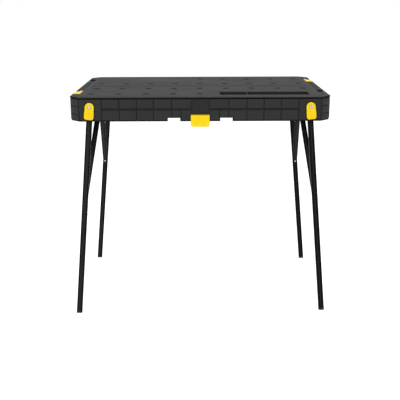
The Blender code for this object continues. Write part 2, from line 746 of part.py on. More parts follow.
def build_hub(side, label, root):
    """Folded plate that carries both braces on the hinge pin."""
    web = -along_leg(side, BRACE_HIGH)
    half = HUB_WIDTH / 2
    low = HUB_EAR_Y - STEEL / 2
    high = HUB_EAR_Y + STEEL / 2
    hub = outline("hub_" + label, strap_points(half, web), "XZ", low, high, "steel")
    ear = outline("hub_ear_" + label, strap_points(half, web), "XZ", -high, -low)
    plate = bmesh.new()
    add_box(plate, (-half, half), (-high, high), (web - STEEL / 2, web + STEEL / 2))
    plate_part = mesh_object("hub_plate_" + label, plate)
    holes = bmesh.new()
    add_rod(holes, (0, -0.05, 0), (0, 0.05, 0), PIN_RADIUS + HOLE_PLAY)
    for front in (-1, 1):
        y = front * HUB_RIVET_Y
        add_rod(holes, (0, y, web + 0.004), (0, y, web - 0.004), RIVET_RADIUS + HOLE_PLAY, 10)
    cut = mesh_object("cut_hub_" + label, holes)
    boolean(hub, plate_part, "UNION")
    boolean(hub, ear, "UNION")
    boolean(hub, cut)
    attach(root, hub, ear, plate_part, cut)


def build_rivets(side, front, name, root):
    """Rivets of one brace: one through the hub's plate, one into the leg."""
    web = -along_leg(side, BRACE_HIGH)
    low = -along_leg(side, BRACE_LOW)
    inner = leg_outer(side) - LEG_DEEP
    head = [(RIVET_RADIUS + 0.002, 0), (RIVET_RADIUS + 0.002, 0.0012), (RIVET_RADIUS, 0.0020)]
    stack = STEEL + BRACE_TAB + 3 * GAP
    place = Matrix.Translation((0, front * HUB_RIVET_Y, web + STEEL / 2 + GAP))
    hub_rivet = turned("hub_rivet_" + name, place, head, RIVET_RADIUS, stack, "steel")
    tab = front * (inner - GAP - BRACE_TAB - GAP)
    place = Matrix.Translation((0, tab, low)) @ Matrix.Rotation(front * math.pi / 2, 4, "X")
    stack = LEG_SIDE_WALL + BRACE_TAB + 2 * GAP
    brace_rivet = turned("brace_rivet_" + name, place, head, RIVET_RADIUS, stack, "steel")
    attach(root, hub_rivet, brace_rivet)


def turned(name, place, head, radius, length, look, sides=10):
    """Rivet, pin or bolt: a round head above Z = 0 and a shank below it."""
    profile = [(0.0, head[-1][1])] + head[::-1] + [(radius, head[0][1]), (radius, -length), (0.0, -length)]
    shape = bmesh.new()
    verts = [shape.verts.new((out, 0.0, z)) for out, z in profile]
    edges = [shape.edges.new(pair) for pair in zip(verts, verts[1:])]
    bmesh.ops.spin(shape, geom=verts + edges, cent=(0, 0, 0), axis=(0, 0, 1), dvec=(0, 0, 0),
                   angle=math.tau, steps=sides, use_merge=True)
    bmesh.ops.remove_doubles(shape, verts=shape.verts, dist=1e-6)
    shape.transform(place)
    bmesh.ops.recalc_face_normals(shape, faces=shape.faces)
    if shape.calc_volume(signed=True) < 0:
        bmesh.ops.reverse_faces(shape, faces=shape.faces)
    return mesh_object(name, shape, look)


def build_bracket(side, front, name):
    """Box bracket: a roof screwed to the deck, two cheeks and a stop wall."""
    depth = pivot_depth(side)
    outer, inner = cheek_bands(side)
    hinge = bpy.data.objects.new("bracket_place_" + name, None)
    PARTS.objects.link(hinge)
    hinge.location = (side * leg_line(depth), 0.0, level(depth))
    hinge.rotation_euler = (0.0, -side * LEG_SPLAY, 0.0)
    top = -along_leg(side, ROOF_TOP)
    bottom = -along_leg(side, CHEEK_BOTTOM)
    wall = sorted((side * (LEG_WIDTH / 2 + GAP), side * (CHEEK_HALF - SEAM / 2)))
    y_all = band(front, outer, inner - STEEL)
    middle = front * (outer + inner - STEEL) / 2
    flange = sorted((side * (BOLT_X - CHEEK_HALF - STEEL), side * (BOLT_X + CHEEK_HALF + FLANGE_LONG)))
    half = (y_all[1] - y_all[0]) / 2 - SEAM
    roof = bmesh.new()
    add_box(roof, flange, (middle - half, middle + half), (level(ROOF_BOTTOM), level(ROOF_TOP)))
    bracket = mesh_object("bracket_" + name, roof, "steel")
    sheets = []
    for label, face in (("outer", outer), ("inner", inner)):
        cheek = bmesh.new()
        add_box(cheek, (-CHEEK_HALF, CHEEK_HALF), band(front, face, face - STEEL), (bottom, top + SEAM))
        sheets.append(mesh_object("cheek_" + label + "_" + name, cheek))
    stop = bmesh.new()
    add_box(stop, wall, (y_all[0] + SEAM, y_all[1] - SEAM), (bottom + SEAM, top - SEAM))
    sheets.append(mesh_object("stop_" + name, stop))
    for sheet in sheets:
        boolean(bracket, sheet, "UNION")
        attach(hinge, sheet)
    crown = bmesh.new()
    add_box(crown, (-1, 1), (-1, 1), (level(ROOF_TOP), level(ROOF_TOP) + 0.02))
    boolean(bracket, mesh_object("cut_crown_" + name, crown))
    holes = bmesh.new()
    add_rod(holes, (0, y_all[0] - 0.01, 0), (0, y_all[1] + 0.01, 0), PIN_RADIUS + HOLE_PLAY)
    pin_cut = mesh_object("cut_bracket_pin_" + name, holes)
    boolean(bracket, pin_cut)
    attach(hinge, pin_cut)
    screws = bmesh.new()
    x, y = bracket_screw_place(side, front)
    add_rod(screws, (x, y, level(ROOF_BOTTOM + 0.01)), (x, y, level(ROOF_TOP - 0.01)),
            SCREW_RADIUS + HOLE_PLAY, 8)
    boolean(bracket, mesh_object("cut_bracket_screws_" + name, screws))
    build_pivot_pin(side, front, name, hinge)


def build_pivot_pin(side, front, name, hinge):
    """Pin through both cheeks; the narrow frame's pin has a head inside."""
    outer, inner = cheek_bands(side)
    far = front * (outer - 0.0001)
    if side < 0:
        shape = bmesh.new()
        add_rod(shape, (0, front * (inner - STEEL + 0.0001), 0), (0, far, 0), PIN_RADIUS)
        pin = mesh_object("pivot_pin_" + name, shape, "steel")
    else:
        near = front * (inner - STEEL - GAP)
        place = Matrix.Translation((0, near, 0)) @ Matrix.Rotation(front * math.pi / 2, 4, "X")
        pin = turned("pivot_pin_" + name, place, PIN_HEAD, PIN_RADIUS, abs(far - near), "steel",
                     ROUND_SIDES)
    attach(hinge, pin)


def build_hub_bracket(side, label):
    """Bracket under the middle of the end that carries the hub's pin."""
    depth = pivot_depth(side)
    x = side * leg_line(depth)
    half = 0.008
    long = HUB_EAR_Y + HUB_SCREW_OUT + 0.006
    roof = bmesh.new()
    add_box(roof, (x - half, x + half), (-long, long), (level(ROOF_BOTTOM), level(ROOF_TOP)))
    bracket = mesh_object("hub_bracket_" + label, roof, "steel")
    down = [(x - half, level(ROOF_BOTTOM) + 0.001), (x - half, level(depth))]
    curve = arc((x, level(depth)), half, 180, 360, 8)[1:-1]
    points = down + curve + [(x + half, level(depth)), (x + half, level(ROOF_BOTTOM) + 0.001)]
    for end in (-1, 1):
        low, high = band(end, HUB_BRACKET_EAR_Y + STEEL / 2, HUB_BRACKET_EAR_Y - STEEL / 2)
        ear = outline("hub_bracket_ear_" + label + str(end + 1), points, "XZ", low, high)
        boolean(bracket, ear, "UNION")
    holes = bmesh.new()
    add_rod(holes, (x, -0.05, level(depth)), (x, 0.05, level(depth)), PIN_RADIUS + HOLE_PLAY)
    for end in (-1, 1):
        y = hub_screw_place(side, end)[1]
        add_rod(holes, (x, y, level(ROOF_BOTTOM + 0.01)), (x, y, level(ROOF_TOP - 0.01)),
                SCREW_RADIUS + HOLE_PLAY, 8)
    boolean(bracket, mesh_object("cut_hub_bracket_" + label, holes))
    reach = HUB_EAR_Y + STEEL / 2 + GAP
    place = Matrix.Translation((x, -reach, level(depth))) @ Matrix.Rotation(math.pi / 2, 4, "X")
    place = place @ Matrix.Rotation(math.pi, 4, "X")
    turned("hub_pin_" + label, place @ Matrix.Rotation(math.pi, 4, "X"), PIN_HEAD, PIN_RADIUS,
           2 * reach, "steel", ROUND_SIDES)


def build_lever(side, front, name):
    """Yellow lever, steel arm with its pad, and the bolt that joins them."""
    root = bpy.data.objects.new("lever_hinge_" + name, None)
    PARTS.objects.link(root)
    root.location = (side * BOLT_X, 0.0, level(BOLT_DEPTH))
    root.rotation_euler = (0.0, -side * LEG_SPLAY, 0.0)
    arm_outer = SKIRT_INSIDE - GAP if side < 0 else MIDDLE_CHEEK + GAP + STEEL + GAP
    arm_inner = arm_outer - STEEL
    face = SKIRT_FACE + GAP
    back, outer = band(front, face, face + LEVER_THICK)
    corner = 0.008
    low = -LEVER_LENGTH
    points = arc((0, 0), LEVER_TOP_RADIUS, 8, 172, 10)
    points += arc((-LEVER_RADIUS + corner, low + corner), corner, 180, 270, 4)
    points += arc((LEVER_RADIUS - corner, low + corner), corner, 270, 360, 4)
    lever = outline("lock_lever_" + name, points, "XZ", back, outer, "yellow")
    rounded(lever, 0.0012, 2, 50)
    boss = bmesh.new()
    add_rod(boss, (0, front * (arm_outer + GAP), 0), (0, front * (face + 0.001), 0), LEVER_BOSS)
    boss_part = mesh_object("lever_boss_" + name, boss)
    hole = bmesh.new()
    add_rod(hole, (0, front * (arm_inner - 0.01), 0), (0, front * (face + 0.01), 0),
            LEVER_BOLT + HOLE_PLAY, 12)
    bolt_cut = mesh_object("cut_lever_" + name, hole)
    boolean(lever, boss_part, "UNION")
    boolean(lever, bolt_cut)
    arm_points = arc((0, 0), ARM_EYE, -30, 210, 10) + [(-ARM_HALF, -PAD_FAR), (ARM_HALF, -PAD_FAR)]
    arm_low, arm_high = band(front, arm_outer, arm_inner)
    arm = outline("lock_arm_" + name, arm_points, "XZ", arm_low, arm_high, "steel")
    pad = bmesh.new()
    add_box(pad, (-ARM_HALF + 0.0002, ARM_HALF - 0.0002),
            band(front, arm_inner + 0.0005, leg_outer(side) + GAP),
            (-PAD_FAR + 0.0002, -PAD_NEAR))
    pad_part = mesh_object("arm_pad_" + name, pad)
    boolean(arm, pad_part, "UNION")
    boolean(arm, bolt_cut)
    head_y = face + LEVER_THICK + GAP
    place = Matrix.Translation((0, front * head_y, 0)) @ Matrix.Rotation(-front * math.pi / 2, 4, "X")
    head = [(LEVER_BOLT_HEAD, 0), (LEVER_BOLT_HEAD, LEVER_BOLT_HEAD_HIGH - 0.0006),
            (LEVER_BOLT_HEAD - 0.0008, LEVER_BOLT_HEAD_HIGH)]
    bolt_part = turned("lever_bolt_" + name, place, head, LEVER_BOLT, head_y - arm_inner, "steel", 12)
    attach(root, lever, boss_part, bolt_cut, arm, pad_part, bolt_part)


def build_latch():
    """Yellow latch: eye, arm, nose under the folded leg and a finger lip."""
    pivot_z = level(LATCH_PIVOT_DEPTH)
    arm_in = WIDE_LEG + 0.0006
    arm_out = arm_in + LATCH_ARM
    plate_in = SKIRT_FACE + 0.0005
    plate_out = plate_in + LATCH_SHEET
    leg_bottom = LOWER_PIVOT + LEG_WIDTH / 2
    eye = bmesh.new()
    add_rod(eye, (-LATCH_ARM_HALF, -LATCH_PIVOT_OUT, pivot_z),
            (LATCH_ARM_HALF, -LATCH_PIVOT_OUT, pivot_z), LATCH_EYE, 14)
    eye_part = mesh_object("latch_eye", eye)
    link_low = LATCH_BEND - 0.002
    arm_points = [
        (-LATCH_PIVOT_OUT, pivot_z), (-arm_out, pivot_z - 0.001),
        (-arm_out, level(LATCH_BEND - 0.012)), (-plate_in - 0.001, level(LATCH_BEND - 0.012)),
        (-plate_in - 0.001, level(link_low)), (-arm_in, level(link_low)),
        (-arm_in, pivot_z - 0.0015), (-LATCH_PIVOT_OUT, pivot_z - LATCH_EYE + 0.0010)]
    arm_half = LATCH_ARM_HALF - 0.0005
    arm = outline("latch_arm", arm_points, "YZ", -arm_half, arm_half)
    tip = WIDE_LEG - NOSE_REACH
    nose_top = level(leg_bottom + 0.0005)
    nose_points = [
        (-arm_in - 0.001, nose_top), (-tip, nose_top), (-tip, nose_top - 0.0008),
        (-arm_in, nose_top - 0.0008 - (arm_in - tip)),
        (-arm_in - 0.001, nose_top - 0.0008 - (arm_in - tip))]
    nose = outline("latch_nose", nose_points, "YZ", *NOSE_X)
    bend = level(LATCH_BEND)
    end = level(LATCH_END)
    plate_points = [(-plate_in, level(LATCH_PLATE_TOP)), (-plate_in, bend)]
    steps = 4
    for step in range(1, steps + 1):
        share = step / steps
        plate_points.append((-plate_in - LATCH_FLARE * share ** 1.6, bend + (end - bend) * share))
    back = [(y - LATCH_SHEET, z + 0.0006) for y, z in reversed(plate_points[2:])]
    plate_points += back
    plate_points += [(-plate_out, bend), (-plate_out, level(LATCH_PLATE_TOP))]
    latch = outline("front_latch", plate_points, "YZ", -LATCH_HALF, LATCH_HALF, "yellow")
    trim = outline("latch_corners", latch_face(end), "XZ", -TOP_WIDTH / 2 - 0.05, -TOP_WIDTH / 2 + 0.05)
    boolean(latch, trim, "INTERSECT")
    boolean(latch, arm, "UNION")
    boolean(latch, eye_part, "UNION")
    boolean(latch, nose, "UNION")
    hole = bmesh.new()
    add_rod(hole, (-0.05, -LATCH_PIVOT_OUT, pivot_z), (0.05, -LATCH_PIVOT_OUT, pivot_z),
            LATCH_PIN_RADIUS + HOLE_PLAY, 10)
    boolean(latch, mesh_object("cut_latch_pin", hole))
    pin = bmesh.new()
    reach = LATCH_ARM_HALF + GAP + EAR_THICK
    add_rod(pin, (-reach, -LATCH_PIVOT_OUT, pivot_z), (reach, -LATCH_PIVOT_OUT, pivot_z),
            LATCH_PIN_RADIUS, 10)
    mesh_object("latch_pin", pin, "steel")


def latch_face(end):
    """Front view of the latch plate, with round lower corners."""
    corner = 0.0086
    half = LATCH_HALF
    low = end - 0.0004
    points = [(half, level(LATCH_PLATE_TOP) + 0.001), (-half, level(LATCH_PLATE_TOP) + 0.001)]
    points += arc((-half + corner, low + corner), corner, 180, 270, 4)
    points += arc((half - corner, low + corner), corner, 270, 360, 4)
    return points


def build_tongue(side, name):
    """Yellow coupling tongue that slides out of the end of the deck."""
    y = side * LINK_Y
    block = sorted((side * (LINK_INNER_X + GAP), side * (LINK_INNER_X + LINK_BLOCK)))
    plate = sorted((side * (LINK_INNER_X + LINK_BLOCK - 0.001), side * LINK_OUTER_X))
    shoulder = sorted((side * (LINK_INNER_X + GAP), side * (LINK_INNER_X + LINK_SHOULDER)))
    low = level(LINK_DEPTH - GAP)
    half = LINK_HALF_WIDTH
    shape = bmesh.new()
    add_box(shape, block, (y - half, y + half), (low, level(GAP)))
    tongue = mesh_object("link_tongue_" + name, shape, "yellow")
    flat = bmesh.new()
    add_box(flat, plate, (y - half + 0.0003, y + half - 0.0003), (low, level(LINK_LOW)))
    wings = bmesh.new()
    wide = half + LINK_FLANGE
    add_box(wings, shoulder, (y - wide, y + wide), (low, level(LINK_LOW + 2 * GAP)))
    boolean(tongue, mesh_object("tongue_plate_" + name, flat), "UNION")
    boolean(tongue, mesh_object("tongue_wings_" + name, wings), "UNION")


def build_screw(name, place):
    """Pan-head screw driven up through a roof into its boss."""
    x, y = place
    flip = Matrix.Translation((x, y, level(ROOF_BOTTOM + GAP))) @ Matrix.Rotation(math.pi, 4, "X")
    head = [(SCREW_HEAD, 0), (SCREW_HEAD, 0.001), (SCREW_HEAD - 0.001, SCREW_HEAD_HIGH)]
    turned(name, flip, head, SCREW_RADIUS, ROOF_BOTTOM + GAP - SCREW_TIP, "steel", 8)


def build_frame(side, label):
    """One leg frame: two legs, two braces, hub and rivets."""
    root = frame_root(side)
    for front, end in ((-1, "front"), (1, "back")):
        name = label + "_" + end
        build_leg(side, front, name, root)
        build_brace(side, front, name, root)
        build_bracket(side, front, name)
        build_lever(side, front, name)
        build_rivets(side, front, name, root)
        build_screw("bracket_screw_" + name, bracket_screw_place(side, front))
        build_screw("hub_screw_" + name, hub_screw_place(side, front))
    build_hub(side, label, root)
    build_hub_bracket(side, label)


def main():
    """Build the whole bench."""
    build_deck()
    build_skirt()
    build_frame(-1, "left")
    build_frame(1, "right")
    build_latch()
    build_tongue(-1, "left_front")
    build_tongue(1, "right_back")


main()
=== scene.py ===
"""Looks of the folding workbench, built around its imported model.

Metres, +Z up; the floor is at Z = 0 and the front faces -Y.
Depths are measured down from the worktop.
"""

import json
import math

import bmesh
import bpy
from mathutils import Matrix, Vector


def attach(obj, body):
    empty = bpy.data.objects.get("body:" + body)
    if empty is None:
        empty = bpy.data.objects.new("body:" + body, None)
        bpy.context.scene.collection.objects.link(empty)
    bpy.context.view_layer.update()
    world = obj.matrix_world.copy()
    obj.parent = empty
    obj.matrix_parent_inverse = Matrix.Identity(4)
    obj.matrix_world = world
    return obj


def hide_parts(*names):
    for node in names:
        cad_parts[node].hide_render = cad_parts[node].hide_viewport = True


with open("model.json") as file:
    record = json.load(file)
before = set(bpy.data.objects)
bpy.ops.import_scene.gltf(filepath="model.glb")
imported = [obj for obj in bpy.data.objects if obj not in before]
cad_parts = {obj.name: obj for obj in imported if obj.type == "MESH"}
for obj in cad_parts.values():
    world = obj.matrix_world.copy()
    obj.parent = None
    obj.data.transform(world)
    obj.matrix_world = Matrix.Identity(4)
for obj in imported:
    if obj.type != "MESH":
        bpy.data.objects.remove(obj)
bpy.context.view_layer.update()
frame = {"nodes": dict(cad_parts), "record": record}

# Whole bench
TOP_LENGTH = 0.850
TOP_WIDTH = 0.600
HEIGHT = 0.755
GAP = 0.0003
STEEL = 0.002
ROUND_SIDES = 48
SMALL_SIDES = 28
FINE_SIDES = 12
SMOOTH_ANGLE = 32
FINE_EDGE = 0.0005

# How far a cutter stands out past what it cuts
OVER = 0.002
FAR_OVER = 0.01

# Worktop
CORNER_CUT = 0.032
CORNER_ROUND = 0.003
DECK_PLATE = 0.004
DECK_LIP = 0.0034
DECK_RIM = 0.0064
RIM_WIDTH = 0.014
REBATE = 0.0012
EDGE_ROUND = 0.002
RIB_BOTTOM = 0.0185
RIB_THICK = 0.0022
HOLE_RADIUS = 0.0100
COLLAR_WALL = 0.0035
HOLE_PITCH = 0.0905
HOLE_COLUMNS = 4
INNER_ROW = 0.0715
OUTER_ROW = 0.2145
BEAD_X = 0.394
BEAD_HALF_LENGTH = 0.235
BEAD_HALF_WIDTH = 0.0009
BEAD_DEPTH = 0.0007
GROOVE_HALF_LENGTH = 0.385
GROOVE_HALF_WIDTH = 0.006
GROOVE_DEPTH = 0.004
GRIP_STRIP = (0.4000, 0.4155)
GRIP_DEPTH = 0.0004
GRIP_HALF = 0.0008
GRIP_PITCH = 0.0060

# Tray sunk in the right front of the worktop
TRAY_X = (0.066, 0.155, 0.157, 0.362)
TRAY_Y = (-0.243, -0.168)
TRAY_DEPTH = 0.016
TRAY_WALL = 0.0022
TRAY_HOLE = (0.0745, -0.210, 0.0065)
TRAY_CORNER = 0.005
TRAY_FLOOR_ROUND = 0.0022
TRAY_FLARE = 0.0024

# Printed rulers: both ends, where the marks start and where the numbers stand
RULERS = ((-0.335, -0.185, 0.226, 0.209), (0.190, 0.375, 0.162, 0.145))
RULER_STEP = 0.005
MARK_HALF = 0.0005
MARK_LONG = (0.008, 0.0055, 0.0035)
NUMBER_SIZE = (0.0180, 0.0105)
NUMBER_STEP = 0.025
PRINT_THICK = 0.00008

# Coupling tongues and sockets
LINK_Y = 0.166
LINK_INNER_X = 0.401
LINK_OUTER_X = 0.4283
LINK_HALF_WIDTH = 0.040
LINK_BLOCK = 0.009
LINK_SHOULDER = 0.012
LINK_FLANGE = 0.002
LINK_DEPTH = 0.0052
LINK_LOW = 0.0022
LINK_EDGE = 0.0006
LINK_RIDGE = 0.0006
LINK_RIDGE_PITCH = 0.0045
LINK_RIDGE_INSET = 0.004
SOCKET_X = (0.398, 0.419)
SOCKET_SIDE_PLAY = 0.001
POCKET_FLOOR = 0.0024

# Skirt
SKIRT_DEPTH = 0.0785
LIP_OVERHANG = 0.0015
SKIRT_WALL = 0.004
SKIRT_GROOVE = 0.0022
GROOVE_WIDTH = 0.0024
SPLIT_WIDTH = 0.0068
PANEL_TOP = 0.0069
PANEL_SPLIT = 0.0395
PANEL_FOOT = 0.0742
PANEL_MARGIN = 0.0030
PANEL_THICK = 0.003
PANEL_EDGE = 0.0008
CORNER_GROOVE = 0.0024
FRONT_GROOVES = (0.029, 0.092, 0.151, 0.206, 0.262, 0.319)
LOW_GROOVE = 0.062
END_GROOVES = (0.030, 0.090, 0.150, 0.210)
FACET_GROOVES = (0.030, 0.055)
RECESS_HALF = 0.029
RECESS_DEEP = 0.0014
NOTCH_X = (0.065, 0.105)
NOTCH_TOP = 0.0675
LEVER_POCKET = 0.0024

# Leg frames
LEG_WIDTH = 0.019
LEG_DEEP = 0.013
LEG_EDGE = 0.0020
LEG_WALL = 0.0015
LEG_SIDE_WALL = 0.0025
TUBE_CLOSED = 0.03
STRIPE_WIDTH = 0.0066
STRIPE_DEEP = 0.0010
STRIPE_ENDS = (0.006, 0.012)
LEG_SPLAY = math.radians(5.33)
BOLT_X = 0.3575
BOLT_DEPTH = 0.032
ROOF_PLAY = 0.0007
LAYER_GAP = 0.0015
SIDE_PLAY = 0.001
FOOT_HIGH = 0.006
FOOT_GROOVE = (0.0030, 0.0040)
FOOT_GROOVE_DEEP = 0.0006
FOOT_EDGE = 0.0008
PLUG_LONG = 0.020
PIN_RADIUS = 0.003
BRACE_WIDTH = 0.018
BRACE_THICK = 0.007
BRACE_WALL = 0.0016
BRACE_TAB = 0.0024
BRACE_EDGE = 0.0016
BRACE_LOW = 0.336
BRACE_HIGH = 0.062
RIVET_RADIUS = 0.0025
RIVET_HEAD = 0.0035
HUB_EAR_Y = 0.026
HUB_RIVET_Y = 0.015
HUB_SCREW_OUT = 0.009
CHEEK_HALF = LEG_WIDTH / 2 + GAP + STEEL
FLANGE_LONG = 0.019
SCREW_RADIUS = 0.002
SCREW_HEAD = 0.004
SCREW_TIP = 0.008
BOSS_RADIUS = 0.0045

# Lock levers
LEVER_RADIUS = 0.0154
LEVER_TOP_RADIUS = 0.0147
LEVER_SHOULDER = (0.012, 0.017)
LEVER_CORNER = 0.0075
LEVER_SEAT = 0.0078
LEVER_EDGE = 0.0014
LEVER_SEAT_DEEP = 0.0009
LEVER_PAD = ((-0.0100, 0.0100), (-0.0335, -0.0145))
LEVER_PAD_DEEP = 0.0006
LEVER_PAD_ROUND = 0.0045
LEVER_RIDGE = 0.00075
LEVER_RIDGE_HALF = 0.0062
LEVER_RIDGE_SUNK = 0.0008
LEVER_RIDGE_LOW = -0.0306
LEVER_RIDGE_PITCH = 0.0044
LEVER_LENGTH = 0.0405
LEVER_THICK = 0.0048
LEVER_BOSS = 0.006
LEVER_BOLT = 0.0025
LEVER_BOLT_HEAD = 0.0055

# Front latch
LATCH_HALF = 0.0305
LATCH_PIVOT_OUT = 0.2880
LATCH_PIVOT_DEPTH = 0.0375
LATCH_EYE = 0.0040
LATCH_PIN_RADIUS = 0.0015
LATCH_ARM_HALF = 0.0285
LATCH_ARM = 0.0018
LATCH_OPENING = 0.0550
LATCH_PLATE_TOP = 0.0582
LATCH_BEND = 0.0765
LATCH_END = 0.0945
SWING_ROOM = 0.0013
SWING_ROOM_HIGH = 0.0105
LATCH_SHEET = 0.0034
LATCH_FLARE = 0.009
LATCH_TIP = 0.3113
LATCH_EDGE = 0.0012
LATCH_CORNER = 0.009
LATCH_PLAY = 0.0006
OVAL_X = 0.0115
OVAL_DEPTH = 0.0842
OVAL_TILT = 22
OVAL_SIZE = (0.0080, 0.0016, 0.0030)
NOSE_X = (0.000, 0.024)
NOSE_REACH = 0.0034
EAR_THICK = 0.003

# Bands across the bench, from the skirt inwards
SKIRT_FACE = TOP_WIDTH / 2 - LIP_OVERHANG
SKIRT_INSIDE = SKIRT_FACE - SKIRT_WALL
OUTER_CHEEK = SKIRT_INSIDE - GAP - STEEL - GAP
WIDE_LEG = OUTER_CHEEK - STEEL - SIDE_PLAY
MIDDLE_CHEEK = WIDE_LEG - LEG_DEEP - SIDE_PLAY
NARROW_LEG = MIDDLE_CHEEK - STEEL - SIDE_PLAY
INNER_CHEEK = NARROW_LEG - LEG_DEEP - SIDE_PLAY

# Layers under the deck
ROOF_TOP = RIB_BOTTOM + GAP
ROOF_BOTTOM = ROOF_TOP + STEEL
UPPER_PIVOT = ROOF_BOTTOM + ROOF_PLAY + LEG_WIDTH / 2
LOWER_PIVOT = UPPER_PIVOT + LEG_WIDTH + LAYER_GAP

# Turned profiles, as radius and height from the middle outwards
HOLE_RIM = [(0.0, 0.002), (0.0139, 0.002), (0.0139, 0.0004), (0.0134, -0.0002), (0.0128, -0.0005),
            (0.0116, -0.0009), (0.0107, -0.0016), (0.0101, -0.0026), (HOLE_RADIUS, -0.0040)]
RIVET_DOME = [(0.0, 0.0019), (0.0013, 0.0018), (0.0025, 0.0013), (0.0032, 0.0006), (RIVET_HEAD, 0.0)]
SCREW_DOME = [(0.0, 0.0022), (0.0016, 0.0021), (0.0031, 0.0017), (0.0038, 0.0010), (SCREW_HEAD, 0.0)]
BOLT_DOME = [(0.0, 0.0022), (0.0030, 0.0021), (0.0044, 0.0016), (0.0052, 0.0008), (LEVER_BOLT_HEAD, 0.0),
             (LEVER_BOLT_HEAD - 0.0002, -0.0009)]

# Camera, as fitted to the corners of the top, the skirt and the feet
CAMERA_PLACE = (-0.0076, -2.6881, 1.0817)
CAMERA_YAW = 0.145
CAMERA_PITCH = 15.662
CAMERA_ROLL = -0.182
CAMERA_FOCAL = 743.4
PICTURE = 400
SKY = 0.45
FLOOR_GLOW = 0.64
LAMPS = (((-1.6, -2.2, 2.6), 2.2, 46), ((2.0, -1.8, 2.2), 2.2, 30), ((0.0, 1.2, 2.8), 2.4, 30))
LAMP_AIM = Vector((0, 0, 0.55))


def level(depth):
    """Height of a place that lies so far under the worktop."""
    return HEIGHT - depth


def levels(low, high):
    """Heights of a lower and an upper depth."""
    return level(low), level(high)


def leg_line(depth):
    """Distance of a leg's centre line from the middle at a depth."""
    return BOLT_X + (depth - BOLT_DEPTH) * math.tan(LEG_SPLAY)


def pivot_depth(side):
    """The left frame folds into the lower layer, the right into the upper."""
    return LOWER_PIVOT if side < 0 else UPPER_PIVOT


def leg_outer(side):
    """Outer face of a leg across the bench."""
    return WIDE_LEG if side < 0 else NARROW_LEG


def along_leg(side, depth):
    """How far down the leg from its pivot a depth lies."""
    return (depth - pivot_depth(side)) / math.cos(LEG_SPLAY)


def leaning(side, depth):
    """Frame that leans with a leg, on its centre line at a depth."""
    spot = Matrix.Translation((side * leg_line(depth), 0.0, level(depth)))
    return spot @ Matrix.Rotation(-side * LEG_SPLAY, 4, "Y")


def band(side, outer, inner):
    """Limits of a piece that lies between two distances on one side of the middle."""
    return sorted((side * outer, side * inner))


def half_turn(front):
    """Half a turn about Z for the back of the bench, none for the front."""
    return Matrix.Identity(4) if front < 0 else Matrix.Rotation(math.pi, 4, "Z")


def frame_of(side):
    """Body that the legs of a side ride on."""
    return "left_frame" if side < 0 else "right_frame"


def corners():
    """The four legs: side, front or back, and the name of their nodes."""
    for side, left in ((-1, "left"), (1, "right")):
        for front, end in ((-1, "front"), (1, "back")):
            yield side, front, left + "_" + end


# Shapes


def block(shape, x, y, z, place=Matrix.Identity(4)):
    """Add a box between three pairs of limits."""
    size = (x[1] - x[0], y[1] - y[0], z[1] - z[0])
    middle = ((x[0] + x[1]) / 2, (y[0] + y[1]) / 2, (z[0] + z[1]) / 2)
    matrix = place @ Matrix.Translation(middle) @ Matrix.Diagonal((*size, 1.0))
    bmesh.ops.create_cube(shape, size=1.0, matrix=matrix)


def box(x, y, z):
    """New shape of one block."""
    shape = bmesh.new()
    block(shape, x, y, z)
    return shape


def rod(shape, start, end, radius, sides=ROUND_SIDES):
    """Add a cylinder between two points."""
    start, end = Vector(start), Vector(end)
    axis = end - start
    turn = axis.to_track_quat("Z", "Y").to_matrix().to_4x4()
    place = Matrix.Translation((start + end) / 2) @ turn
    bmesh.ops.create_cone(shape, cap_ends=True, segments=sides, radius1=radius,
                          radius2=radius, depth=axis.length, matrix=place)


def oblong(x, z):
    """Outline of a rectangle between two pairs of limits."""
    return [(x[0], z[0]), (x[1], z[0]), (x[1], z[1]), (x[0], z[1])]


PLANES = {
    "XZ": Matrix(((1, 0, 0, 0), (0, 0, 1, 0), (0, 1, 0, 0), (0, 0, 0, 1))),
    "YZ": Matrix(((0, 0, 1, 0), (1, 0, 0, 0), (0, 1, 0, 0), (0, 0, 0, 1))),
}


def slab(points, plane, low, high):
    """Extrude an outline between two places."""
    shape = bmesh.new()
    face = shape.faces.new([shape.verts.new((a, b, low)) for a, b in points])
    grown = bmesh.ops.extrude_face_region(shape, geom=[face])
    moved = [v for v in grown["geom"] if isinstance(v, bmesh.types.BMVert)]
    bmesh.ops.translate(shape, verts=moved, vec=(0, 0, high - low))
    shape.transform(PLANES[plane])
    bmesh.ops.recalc_face_normals(shape, faces=shape.faces)
    return shape


def reach(edge, axis):
    """How far an edge runs along an axis."""
    return abs(edge.verts[0].co[axis] - edge.verts[1].co[axis])


def upright(shape, least):
    """Edges of a shape that rise by more than a length."""
    return [e for e in shape.edges if reach(e, 2) > least]


def rounded(shape, edges, width, steps, clamp=False):
    """Round some edges of a shape, or cut them off with one step."""
    bmesh.ops.bevel(shape, geom=edges, offset=width, segments=steps, profile=0.5,
                    affect="EDGES", clamp_overlap=clamp, material=-1)


def soften(shape, width, steps=2, angle=30, chosen=None):
    """Round the edges that are sharper than an angle."""
    edges = []
    for edge in shape.edges:
        if len(edge.link_faces) == 2 and edge.calc_face_angle(0.0) > math.radians(angle):
            if chosen is None or chosen(edge):
                edges.append(edge)
    rounded(shape, edges, width, steps, True)


def turned(profile, place=Matrix.Identity(4), sides=SMALL_SIDES):
    """Spin a profile of radius and height about Z."""
    shape = bmesh.new()
    verts = [shape.verts.new((radius, 0.0, z)) for radius, z in profile]
    edges = [shape.edges.new(pair) for pair in zip(verts, verts[1:])]
    bmesh.ops.spin(shape, geom=verts + edges, cent=(0, 0, 0), axis=(0, 0, 1), dvec=(0, 0, 0),
                   angle=math.tau, steps=sides, use_merge=True)
    bmesh.ops.remove_doubles(shape, verts=shape.verts, dist=1e-6)
    shape.transform(place)
    bmesh.ops.recalc_face_normals(shape, faces=shape.faces)
    return shape


